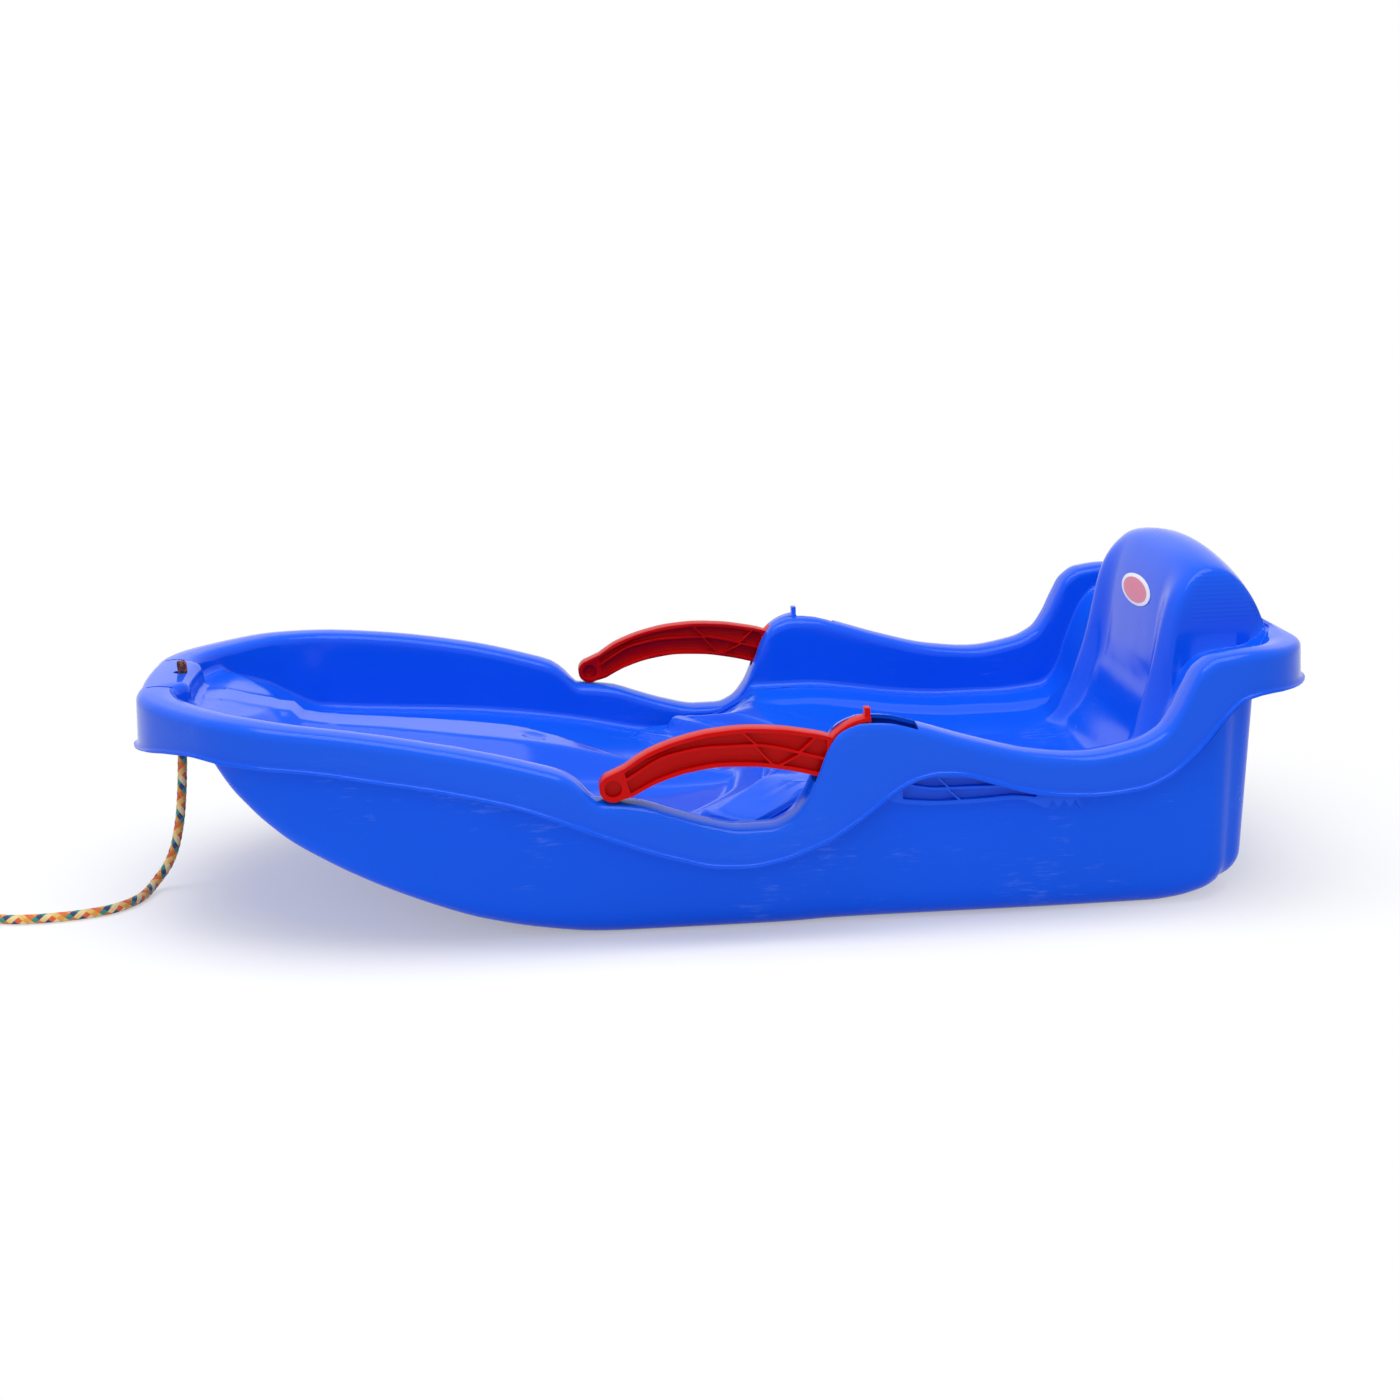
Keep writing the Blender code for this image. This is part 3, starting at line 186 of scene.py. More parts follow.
def smooth_curve(keys):
    """A curve through (position, value) keys that never overshoots them."""
    at, value = np.array(sorted(keys), float).T
    chord = np.diff(value) / np.diff(at)
    slope = np.zeros(len(at))
    slope[0] = chord[0]
    slope[-1] = chord[-1]
    turning = chord[:-1] * chord[1:] <= 0
    total = np.where(turning, 1.0, chord[:-1] + chord[1:])
    slope[1:-1] = np.where(turning, 0.0, 2 * chord[:-1] * chord[1:] / total)

    def read(x):
        x = np.clip(x, at[0], at[-1])
        i = np.clip(np.searchsorted(at, x) - 1, 0, len(chord) - 1)
        step = at[i + 1] - at[i]
        t = (x - at[i]) / step
        rise = value[i] * (1 + 2 * t) * (1 - t) ** 2 + value[i + 1] * t * t * (3 - 2 * t)
        return rise + step * (slope[i] * t * (1 - t) ** 2 - slope[i + 1] * t * t * (1 - t))

    return read


def smooth_step(x):
    x = np.clip(x, 0.0, 1.0)
    return x * x * (3 - 2 * x)


def tail_step(x, start, run):
    """From 0 to 1 over a run that begins this far from the tail."""
    return smooth_step((x - TAIL_X + start) / run)


def smooth_max(a, b, blend):
    return (a + b + np.sqrt((a - b) ** 2 + blend ** 2)) / 2


def smooth_min(a, b, blend):
    return (a + b - np.sqrt((a - b) ** 2 + blend ** 2)) / 2


# Keys of a curve whose positions are measured from the nose, from the brake pivot and from the tail
def from_nose(*keys):
    return [(NOSE_X + x, z) for x, z in keys]


def from_pivot(*keys):
    return [(PIVOT_X + x, z) for x, z in keys]


def from_tail(*keys):
    return [(TAIL_X - x, z) for x, z in keys]


# Height of the rim's land along the sled
land_height = smooth_curve(
    from_nose((0.0, 0.1862), (0.012, 0.1858), (0.035, 0.1848), (0.080, 0.1838), (0.120, 0.181),
              (0.160, 0.177), (0.200, 0.1716), (0.240, 0.1646), (0.280, 0.1561), (0.320, 0.145))
    + from_pivot((-0.234, 0.1375), (-0.2215, 0.1275), (-0.2115, 0.1168), (-0.198, 0.1152),
                 (-0.178, 0.1125), (-0.156, 0.105), (-0.130, 0.0965), (-0.100, 0.0903),
                 (-0.080, 0.0905), (-0.066, 0.096), (-0.054, 0.110), (-0.045, 0.130),
                 (-0.036, 0.152), (-0.026, 0.165), (-0.008, 0.1712), (0.008, 0.1705),
                 (0.035, 0.1635), (0.074, 0.151), (0.124, 0.1384))
    + from_tail((0.190, 0.1345), (0.150, 0.1405), (0.130, 0.150), (0.119, 0.165), (0.111, 0.182),
                (0.102, 0.198), (0.088, 0.207), (0.060, 0.210), (0.030, 0.209), (0.0, 0.208)))

# Height of the skirt's lower edge
skirt_height = smooth_curve(
    from_nose((0.0, 0.137), (0.008, 0.1395), (0.023, 0.1455), (0.045, 0.1515), (0.070, 0.1545),
              (0.095, 0.152), (0.146, 0.149), (0.205, 0.140), (0.248, 0.132), (0.307, 0.116))
    + from_pivot((-0.211, 0.092), (-0.181, 0.080), (-0.151, 0.070), (-0.121, 0.0625),
                 (-0.100, 0.0615), (-0.075, 0.065), (-0.045, 0.076), (-0.014, 0.094),
                 (0.017, 0.117), (0.032, 0.124), (0.048, 0.127), (0.063, 0.126),
                 (0.094, 0.117), (0.125, 0.108))
    + from_tail((0.198, 0.1045), (0.183, 0.104), (0.151, 0.107), (0.128, 0.116), (0.105, 0.136),
                (0.083, 0.162), (0.068, 0.1745), (0.050, 0.178), (0.0, 0.177)))


def rim_reach(x, fillet):
    """How far the skirt's lip stands out from the land's outer edge."""
    drop = land_height(x) - skirt_height(x) - fillet - LIP_HEIGHT
    return fillet + SKIRT_DRAFT * drop + LIP_FLARE


LAND_NOSE_X = NOSE_X + float(rim_reach(NOSE_X, END_FILLET))
LAND_TAIL_X = TAIL_X - float(rim_reach(TAIL_X, END_FILLET))
LAND_HALF = WIDTH / 2 - float(np.max(rim_reach(np.linspace(NOSE_X + 0.3, TAIL_X - 0.2, 400), RIM_FILLET)))
LEVER_Y = LAND_HALF - LEVER_INSET

# Inside floor of the foot well and the bow
floor_height = smooth_curve(
    from_nose((-0.010, 0.160), (0.045, 0.158), (0.057, 0.156), (0.087, 0.143), (0.106, 0.128),
              (0.130, 0.113), (0.200, 0.104), (0.255, 0.099), (0.314, 0.092), (0.370, 0.082))
    + from_pivot((-0.136, 0.067), (-0.096, 0.065), (0.0, 0.065)))

# Foot rests beside the ridge in the bow
rest_height = smooth_curve(
    from_nose((0.0, 0.1655), (0.064, 0.1650), (0.091, 0.1585), (0.110, 0.1545), (0.130, 0.151)))
rest_sweep = smooth_curve([(0.0, 0.0), (0.017, 0.0), (0.053, 0.010), (0.070, 0.024), (0.083, 0.039),
                           (0.092, 0.049)])
REST_LENGTH = 0.105
REST_OUTER = 0.092
REST_FALL = 0.7

# Top of the centre ridge between the legs, its flat half-width
ridge_height = smooth_curve(
    from_nose((0.040, 0.160), (0.064, 0.1625), (0.091, 0.1582), (0.110, 0.1548), (0.1245, 0.1525),
              (0.1290, 0.1455), (0.210, 0.1345), (0.270, 0.1265),
              (0.305, 0.121), (0.338, 0.113), (0.369, 0.103))
    + from_pivot((-0.177, 0.093), (-0.129, 0.082), (-0.086, 0.073), (-0.070, 0.060)))
ridge_half = smooth_curve(
    from_nose((0.040, 0.017), (0.124, 0.018), (0.210, 0.022), (0.270, 0.026), (0.305, 0.026),
              (0.338, 0.018), (0.369, 0.009))
    + from_pivot((-0.177, 0.003), (-0.086, 0.003)))
RIDGE_FALL = 0.85

# Seat: its surface, the curved steps that climb to it, its hollow with a border, and its side slopes
seat_height = smooth_curve(
    from_pivot((-0.060, 0.102), (-0.006, 0.103), (0.040, 0.097), (0.088, 0.0895))
    + from_tail((0.220, 0.086), (0.170, 0.086), (0.135, 0.089)))
STEP_EDGES = (-0.092, -0.060, -0.040)
STEP_RISE = 0.0125
STEP_RUN = 0.011
step_sweep = smooth_curve([(0.0, 0.0), (0.050, 0.0093), (0.090, 0.030), (0.115, 0.048),
                           (0.130, 0.060), (0.142, 0.070), (0.152, 0.075), (0.160, 0.070),
                           (0.168, 0.054), (0.175, 0.030), (0.182, 0.0)])
SWEEP_FRONT = 0.270
SWEEP_REAR = 0.170
SWEEP_BLEND = 0.150
SEAT_DISH = 0.006
SEAT_FRONT_BORDER = 0.001
SEAT_FRONT_RUN = 0.025
SEAT_SIDE_RISE = 0.06
SEAT_SIDE_FROM = 0.065
SEAT_RISE_AT = -0.045
SEAT_UNDER_RIM = 0.010
SEAT_SIDE_FALL = 0.28
SEAT_FALL_FROM = 0.185
SEAT_BORDER = 0.127
SEAT_BORDER_RUN = 0.018

# How softly the parts of the inside run into each other
SEAT_BLEND = 0.003
REST_BLEND = 0.006
RIDGE_BLEND = 0.003
SHOULDER_BLEND = 0.010
HOOD_BLEND = 0.006

# Backrest: front face, top line, side fall, and the shoulders beside it
back_front = smooth_curve(
    from_tail((0.150, 0.070), (0.136, 0.090), (0.125, 0.116), (0.120, 0.136), (0.114, 0.162),
              (0.109, 0.189), (0.104, 0.214), (0.098, 0.232), (0.0905, 0.2445), (0.083, 0.2535),
              (0.074, 0.263), (0.062, 0.272), (0.048, 0.280)))
BACK_HOLLOW = 0.019
BACK_HOLLOW_FLAT = 0.060
BACK_HOLLOW_EDGE = 0.038
BACK_HOLLOW_ENDS = (0.104, 0.030)
BACK_TURN = 0.008
BACK_TURN_HALF = 0.100
BACK_TURN_STARTS = (0.134, 0.034)
back_top = smooth_curve(
    from_tail((0.105, 0.2655), (0.094, 0.2715), (0.082, 0.2745), (0.070, 0.2742), (0.050, 0.2695),
              (0.036, 0.2600), (0.026, 0.2470), (0.019, 0.2315), (0.0155, 0.2160), (0.013, 0.195),
              (0.0, 0.150)))
BACK_CROWN = 1.3
BACK_CORNER = 0.008
BACK_CORNER_STARTS = (0.045, 0.025)
BACK_EDGE_BLEND = 0.011
BACK_SIDE_BLEND = 0.006
back_side = smooth_curve([(0.0, 0.340), (0.083, 0.296), (0.096, 0.273), (0.104, 0.253), (0.109, 0.230),
                          (0.113, 0.200), (0.119, 0.150), (0.127, 0.100), (0.140, 0.030)])
shoulder_height = smooth_curve(
    from_tail((0.140, 0.060), (0.128, 0.086), (0.112, 0.112), (0.100, 0.148), (0.088, 0.174),
              (0.074, 0.188), (0.060, 0.1905), (0.040, 0.1915), (0.028, 0.1985),
              (0.018, 0.2055), (0.0, 0.2055)))

# Hull: bottom line, where its upper edge lies under the rim, and its corners
hull_bottom = smooth_curve(
    from_nose((0.040, 0.1500), (0.068, 0.1490), (0.077, 0.1465), (0.084, 0.138), (0.091, 0.1265),
              (0.098, 0.117), (0.107, 0.106), (0.118, 0.094), (0.137, 0.079), (0.152, 0.069), (0.181, 0.053),
              (0.226, 0.033), (0.272, 0.0165), (0.318, 0.006), (0.360, 0.0008), (0.390, 0.0))
    + from_tail((0.125, 0.0), (0.105, 0.0015), (0.085, 0.006), (0.066, 0.013), (0.050, 0.020)))
HULL_EDGE_DROP = 0.0125
HULL_CLEARANCE = 0.0018
HULL_NOSE_HALF = 0.078
HULL_NOSE_BLEND = 0.055
HULL_NOSE_PAD = 0.026
HULL_NOSE_DROP = 0.019
HULL_DRAFT = 0.045
HULL_FILLET = 0.022
HULL_FILLET_SHARE = 0.6
HULL_SIDE_FOOT = 0.05
HULL_REAR_FILLET = 0.024
HULL_REAR_INSET = 0.013
HULL_REAR_DROP = 0.014
HULL_INSET_STARTS = (0.085, 0.035)
HULL_DROP_STARTS = (0.130, 0.030)
HULL_FILLET_STARTS = (0.100, 0.040)

# Where the axles and their bosses lie across the sled
SKIRT_FACE_Y = float(LAND_HALF + RIM_FILLET
                     + SKIRT_DRAFT * (land_height(PIVOT_X) - RIM_FILLET - PIVOT_HEIGHT))
HULL_FACE_Y = float(LAND_HALF - INNER_EDGE + WALL + HULL_CLEARANCE + HULL_WALL
                    - HULL_DRAFT * (land_height(PIVOT_X) - HULL_EDGE_DROP - PIVOT_HEIGHT))
AXLE_OUT_Y = SKIRT_FACE_Y - 0.0022
AXLE_IN_Y = HULL_FACE_Y + 0.0015

# Lever edges and centre ribs about the pivot
grip_top = smooth_curve([(-0.208, 0.001), (-0.189, 0.014), (-0.173, 0.024), (-0.148, 0.033),
                         (-0.123, 0.038), (-0.099, 0.0395), (-0.074, 0.038), (-0.050, 0.034),
                         (-0.037, 0.031), (-0.025, 0.026)])
grip_bottom = smooth_curve([(-0.187, -0.010), (-0.165, 0.001), (-0.141, 0.008), (-0.116, 0.011),
                            (-0.092, 0.010), (-0.067, 0.006), (-0.047, 0.001), (-0.030, -0.005)])
grip_rib = smooth_curve([(-0.190, 0.004), (-0.157, 0.0215), (-0.124, 0.0265), (-0.094, 0.0265),
                         (-0.044, 0.0150), (-0.025, 0.008)])
arm_top = smooth_curve([(0.0, 0.015), (0.013, 0.010), (0.034, -0.001), (0.066, -0.0035),
                        (0.104, -0.003), (0.134, -0.009), (0.152, -0.017)])
arm_bottom = smooth_curve([(0.0, -0.019), (0.013, -0.023), (0.032, -0.026), (0.051, -0.0275),
                           (0.084, -0.027), (0.104, -0.026), (0.135, -0.030)])
arm_rib = smooth_curve([(0.016, -0.006), (0.031, -0.012), (0.047, -0.0145), (0.084, -0.015),
                        (0.120, -0.0165), (0.140, -0.021)])
GRIP_START = (-0.187, -0.190, -0.191)
GRIP_CROSSES = [(-0.079, -0.091, -0.100), (-0.072, -0.057, -0.046)]
GRIP_END = (-0.036, -0.036, -0.036)
ARM_START = (0.020, 0.020, 0.020)
ARM_CROSSES = [(0.065, 0.056, 0.048)]
ARM_END = (0.125, 0.130, 0.134)


def hood_height(x, y):
    """Height of the backrest: a tall hood with a rounded edge and steep side panels."""
    away = np.abs(y)
    hollow = BACK_HOLLOW * (1 - smooth_step((away - BACK_HOLLOW_FLAT) / BACK_HOLLOW_EDGE))
    hollow = hollow * (1 - tail_step(x, *BACK_HOLLOW_ENDS))
    turn = BACK_TURN * (away / BACK_TURN_HALF) ** 4 * tail_step(x, *BACK_TURN_STARTS)
    crown = back_top(x) - BACK_CROWN * y * y
    back = smooth_min(back_front(x - hollow - turn), crown, BACK_EDGE_BLEND)
    corner = BACK_CORNER * tail_step(x, *BACK_CORNER_STARTS)
    return smooth_min(back, back_side(away), BACK_SIDE_BLEND + corner)


def swept(x, y):
    """How far a line across the tub is bowed towards the nose, so that it follows the steps."""
    into = smooth_step((x - PIVOT_X + SWEEP_FRONT) / SWEEP_BLEND)
    out = smooth_step((x - PIVOT_X + SWEEP_REAR - SWEEP_BLEND) / SWEEP_BLEND)
    return step_sweep(np.abs(y)) * into * (1 - out)


def inside_height(x, y):
    """Height of the tub's upper surface inside the rim."""
    away = np.abs(y)
    floor = floor_height(x)
    beyond = np.maximum(x + rest_sweep(away) - NOSE_X - REST_LENGTH, 0.0)
    beyond = beyond + np.maximum(away - REST_OUTER, 0.0)
    rest = rest_height(x) - REST_FALL * beyond
    ridge = ridge_height(x) - RIDGE_FALL * np.maximum(away - ridge_half(x), 0.0)
    swept_x = x - PIVOT_X + step_sweep(away)
    climb = floor_height(PIVOT_X)
    for edge in STEP_EDGES:
        climb = climb + STEP_RISE * smooth_step((swept_x - edge) / STEP_RUN)
    border = smooth_step((away - SEAT_BORDER) / SEAT_BORDER_RUN)
    pan = smooth_step((swept_x - SEAT_FRONT_BORDER) / SEAT_FRONT_RUN) * (1 - border)
    seat = seat_height(x) - SEAT_DISH * pan
    rise = SEAT_SIDE_RISE * np.maximum(away - SEAT_SIDE_FROM, 0.0)
    rise = rise * smooth_step((swept_x - SEAT_RISE_AT) / SEAT_FRONT_RUN)
    under_rim = land_height(x) - SEAT_UNDER_RIM + SEAT_SIDE_FALL * np.maximum(SEAT_FALL_FROM - away, 0.0)
    base = smooth_min(smooth_min(climb, seat, SEAT_BLEND) + rise, under_rim, SEAT_BLEND)
    base = smooth_max(floor, base, SEAT_BLEND)
    base = smooth_max(base, rest, REST_BLEND)
    base = smooth_max(base, ridge, RIDGE_BLEND)
    base = smooth_max(base, shoulder_height(x), SHOULDER_BLEND)
    return smooth_max(base, hood_height(x, y), HOOD_BLEND)


def catmull(points, per_span):
    """A smooth curve through points, with the ends' tangents mirrored across them."""
    points = [np.array(p, float) for p in points]
    first = points[0] * 2 - points[1]
    last = points[-1] * 2 - points[-2]
    points = [first] + points + [last]
    out = []
    for a, b, c, d in zip(points, points[1:], points[2:], points[3:]):
        for t in np.arange(per_span) / per_span:
            out.append(0.5 * (2 * b + (c - a) * t + (2 * a - 5 * b + 4 * c - d) * t * t
                              + (3 * b - a - 3 * c + d) * t ** 3))
    out.append(points[-2])
    return out


def evenly(points, step):
    """Points at equal steps along a path."""
    points = np.array(points, float)
    along = np.concatenate([[0.0], np.cumsum(np.linalg.norm(np.diff(points, axis=0), axis=1))])
    count = max(int(round(along[-1] / step)), 2)
    at = np.linspace(0.0, along[-1], count + 1)
    return np.stack([np.interp(at, along, points[:, i]) for i in range(3)], axis=1)


# Camera, floor and light
CAMERA_LENS = 54.0
CAMERA_SENSOR = 36.0
CAMERA_PLACE = (-0.1556, -1.7262, 0.5584)
CAMERA_RIGHT = Vector((0.99519948, -0.09449955, -0.02545235))
CAMERA_UP = Vector((0.04673124, 0.23034583, 0.9719861))
CAMERA_AHEAD = Vector((0.08598941, 0.96850949, -0.23365614))
LIGHTS_AIM = Vector((0.0, 0.0, 0.1))
FLOOR_REACH = 6.0
FLOOR_DROP = 0.0003
WORLD_LIGHT = 0.52


def to_linear(text):
    """Linear colour of an sRGB hex value."""
    out = []
    for i in (0, 2, 4):
        c = int(text[i:i + 2], 16) / 255
        out.append(c / 12.92 if c <= 0.04045 else ((c + 0.055) / 1.055) ** 2.4)
    return (*out, 1.0)


def add(tree, kind, **settings):
    """Add one node with its properties and inputs; an input given a node or a socket is linked to it."""
    made = tree.nodes.new("ShaderNode" + kind)
    for key, value in settings.items():
        named = {s.name.lower().replace(" ", "_"): s for s in made.inputs if s.enabled}
        socket = made.inputs[int(key[2:])] if key[:2] == "in" and key[2:].isdigit() else named.get(key)
        if isinstance(value, bpy.types.Node):
            value = next(s for s in value.outputs if s.enabled)
        if socket is None:
            setattr(made, key, value)
        elif isinstance(value, bpy.types.NodeSocket):
            tree.links.new(value, socket)
        else:
            socket.default_value = value
    return made


def fresh_material(name):
    """A material with an empty node tree, and that tree."""
    material = bpy.data.materials.new(name)
    material.use_nodes = True
    tree = material.node_tree
    tree.nodes.clear()
    return material, tree


def new_object(name, data):
    """An object in the scene, at the origin."""
    piece = bpy.data.objects.new(name, data)
    bpy.context.collection.objects.link(piece)
    return piece


def camera():
    """The view of the photograph: from the sled's left side, a little ahead of it and above it."""
    data = bpy.data.cameras.new("camera")
    data.lens = CAMERA_LENS
    data.sensor_width = CAMERA_SENSOR
    data.clip_end = 20.0
    piece = new_object("camera", data)
    turn = Matrix((CAMERA_RIGHT, CAMERA_UP, -CAMERA_AHEAD)).transposed()
    piece.matrix_world = Matrix.Translation(CAMERA_PLACE) @ turn.to_4x4()
    bpy.context.scene.camera = piece


def area_light(name, place, size, energy, mirrored):
    """A soft lamp that faces the sled; mirrored lets its shine show on the plastic."""
    data = bpy.data.lights.new(name, "AREA")
    data.shape = "RECTANGLE"
    data.size, data.size_y = size
    data.energy = energy
    piece = new_object(name, data)
    piece.location = place
    piece.visible_glossy = mirrored
    piece.rotation_euler = (LIGHTS_AIM - Vector(place)).to_track_quat("-Z", "Y").to_euler()


def studio():
    """White floor that keeps the sled's shadow and turns paper white round it, an even world, two lamps."""
    mesh = bpy.data.meshes.new("floor")
    corners = ((-1, -1), (1, -1), (1, 1), (-1, 1))
    verts = [(x * FLOOR_REACH, y * FLOOR_REACH, -FLOOR_DROP) for x, y in corners]
    mesh.from_pydata(verts, [], [(0, 1, 2, 3)])
    floor = new_object("floor", mesh)
    material, tree = fresh_material("painted_white_floor")
    surface = add(tree, "BsdfDiffuse", color=to_linear("F4F5F8"))
    path = add(tree, "LightPath")
    place = add(tree, "TexCoord")
    shape = add(tree, "Mapping", vector=place.outputs["Object"], scale=(1.6, 3.0, 1.0))
    away = add(tree, "VectorMath", operation="LENGTH", in0=shape)
    far = add(tree, "MapRange", value=away.outputs["Value"], from_min=0.62, from_max=1.3, to_min=0.35)
    seen = add(tree, "Math", operation="MAXIMUM", in0=path.outputs["Is Camera Ray"],
               in1=path.outputs["Is Glossy Ray"])
    far = add(tree, "Math", operation="MULTIPLY", in0=far, in1=seen)
    glow = add(tree, "Emission", color=to_linear("FFFFFF"), strength=1.0)
    both = add(tree, "MixShader", in0=far, in1=surface, in2=glow)
    add(tree, "OutputMaterial", surface=both)
    mesh.materials.append(material)
    world = bpy.data.worlds.new("studio")
    bpy.context.scene.world = world
    world.use_nodes = True
    tree = world.node_tree
    tree.nodes.clear()
    path = add(tree, "LightPath")
    seen = add(tree, "Math", operation="MAXIMUM", in0=path.outputs["Is Camera Ray"],
               in1=path.outputs["Is Transmission Ray"])
    seen = add(tree, "Math", operation="MAXIMUM", in0=seen, in1=path.outputs["Is Glossy Ray"])
    lit = add(tree, "Background", color=to_linear("FFFFFF"), strength=WORLD_LIGHT)
    shown = add(tree, "Background", color=to_linear("FFFFFF"), strength=1.0)
    mix = add(tree, "MixShader", in0=seen, in1=lit, in2=shown)
    add(tree, "OutputWorld", surface=mix)
    area_light("overhead", place=(-0.1, -0.25, 1.9), size=(2.2, 1.2), energy=33.0, mirrored=True)
    area_light("front_fill", place=(-0.8, -2.2, 1.1), size=(1.2, 0.8), energy=6.0, mirrored=False)
    bpy.context.scene.view_settings.view_transform = "Standard"


# The tow rope, its knots and its tie


def rope_route():
    """Centre line of the whole rope: out of its knot, down to the ground, along it and round the coil."""
    knot_z = float(land_height(LAND_NOSE_X)) + KNOT_SEAT
    turns = np.linspace(0.0, COIL_TURNS * 2 * math.pi, COIL_TURNS * 24 + 1)
    pitch = 2 * ROPE_RADIUS + COIL_TURN_GAP
    outer = COIL_RADIUS + pitch * COIL_TURNS / 2
    radius = outer - pitch * turns / (2 * math.pi)
    radius -= COIL_TUCK * smooth_step((turns - turns[-1]) / math.pi + 1.0)
    angle = COIL_START + turns
    coil = np.stack([COIL_X + radius * np.cos(angle), COIL_Y + radius * np.sin(angle),
                     np.full(len(angle), COIL_HEIGHT)], axis=1)
    first = coil[0] - coil[1]
    last = coil[-1] - coil[-2]
    first *= 2 * ROPE_RADIUS / np.linalg.norm(first)
    last *= 2 * ROPE_RADIUS / np.linalg.norm(last)
    coil = np.vstack([coil[0] + first, coil, coil[-1] + last])
    start = coil[0]
    lead = coil[0] - coil[1]
    lead /= np.linalg.norm(lead)
    path = [(ROPE_X - ahead, y, z) for ahead, y, z in (
        (0.0, 0.0, knot_z - KNOT_RADIUS - GAP), (0.0, 0.0, 0.165), (0.002, 0.0, 0.140),
        (0.004, 0.0, 0.112), (0.0075, 0.0, 0.078), (0.0125, 0.0, 0.050), (0.0205, 0.0, 0.026),
        (0.031, -0.002, 0.011), (0.038, -0.018, ROPE_RADIUS + 0.0008), (0.044, -0.038, ROPE_RADIUS),
        (0.062, -0.060, ROPE_RADIUS), (0.098, -0.072, ROPE_RADIUS), (0.140, -0.072, ROPE_RADIUS))]
    path += [tuple(start + lead * 0.050 * (1, 1, 0) - (0, 0, COIL_HEIGHT - ROPE_RADIUS)),
             tuple(start + lead * 0.020), tuple(start + lead * GAP)]
    line = evenly(catmull(path, 10), 0.014)
    line[:, 2] = np.maximum(line[:, 2], ROPE_RADIUS)
    return line, coil, knot_z


def braid_relief(around, along):
    """Radius of a two-way braid at a place: four strands each way, passing over and under each other."""
    a = BRAID_STRANDS * (around + along / BRAID_PITCH)
    b = BRAID_STRANDS * (around - along / BRAID_PITCH)
    over = (np.floor(a) + np.floor(b)) % 2 < 0.5
    across = np.where(over, a, b) % 1.0
    lengthways = np.where(over, b, a) % 1.0
    bulge = np.sqrt(np.clip(1 - (2 * across - 1) ** 2, 0.0, 1.0)) * np.sin(math.pi * lengthways) ** 0.5
    return ROPE_RADIUS * (0.90 + 0.10 * bulge)


def braided_tube(name, route, material):
    """A braided cord along a route, closed at both ends; its UV map is round it and metres along it."""
    line = evenly(catmull(route, 8), ROPE_STEP)
    sides = ROPE_SIDES
    count = len(line)
    along = np.concatenate([[0.0], np.cumsum(np.linalg.norm(np.diff(line, axis=0), axis=1))])
    tangent = np.gradient(line, axis=0)
    tangent /= np.linalg.norm(tangent, axis=1)[:, None]
    side = np.cross(tangent[0], (0.0, 1.0, 0.0) if abs(tangent[0][1]) < 0.9 else (1.0, 0.0, 0.0))
    side /= np.linalg.norm(side)
    sides_at = [side]
    for i in range(1, count):
        side = side - tangent[i] * side.dot(tangent[i])
        side /= np.linalg.norm(side)
        sides_at.append(side)
    across = np.array(sides_at)
    other = np.cross(tangent, across)
    share = np.arange(sides) / sides
    reach = braid_relief(share[None, :], along[:, None])
    turn = 2 * math.pi * share
    points = (line[:, None, :] + reach[:, :, None] * (np.cos(turn)[None, :, None] * across[:, None, :]
                                                      + np.sin(turn)[None, :, None] * other[:, None, :]))
    verts = [tuple(p) for p in points.reshape(-1, 3)] + [tuple(line[0]), tuple(line[-1])]
    faces = []
    uvs = []
    for i in range(count - 1):
        for k in range(sides):
            j = (k + 1) % sides
            faces.append((i * sides + k, i * sides + j, (i + 1) * sides + j, (i + 1) * sides + k))
            uvs += [(k / sides, along[i]), ((k + 1) / sides, along[i]), ((k + 1) / sides, along[i + 1]),
                    (k / sides, along[i + 1])]
    for k in range(sides):
        j = (k + 1) % sides
        faces.append((count * sides, j, k))
        uvs += [(k / sides, 0.0)] * 3
        last = (count - 1) * sides
        faces.append((count * sides + 1, last + k, last + j))
        uvs += [(k / sides, along[-1])] * 3
    mesh = bpy.data.meshes.new(name)
    mesh.from_pydata(verts, [], faces)
    layer = mesh.uv_layers.new(name="UVMap")
    layer.data.foreach_set("uv", np.array(uvs, float).ravel())
    fix = bmesh.new()
    fix.from_mesh(mesh)
    bmesh.ops.recalc_face_normals(fix, faces=fix.faces)
    fix.to_mesh(mesh)
    fix.free()
    mesh.shade_smooth()
    mesh.materials.append(material)
    return new_object(name, mesh)


BRAID_TONES = (((0.0, "F0A23C"), (0.25, "E8632A"), (0.5, "F4D488"), (0.75, "2B8F86")),
               ((0.0, "F2C068"), (0.25, "E0752E"), (0.5, "28406E"), (0.75, "F3DCA0")))
# Tones of the knots: the rope's colours darkened, as painted shade
KNOT_SHADED_TONES = ((0.0, "2E1811"), (0.44, "6A301C"), (0.53, "B8622A"), (0.58, "20283A"))


def stepped_tones(ramp, tones):
    """Plain bands of colour, one for each (position, colour)."""
    ramp.color_ramp.interpolation = "CONSTANT"
    while len(ramp.color_ramp.elements) < len(tones):
        ramp.color_ramp.elements.new(0.5)
    for element, (at, tone) in zip(ramp.color_ramp.elements, tones):
        element.position = at
        element.color = to_linear(tone)


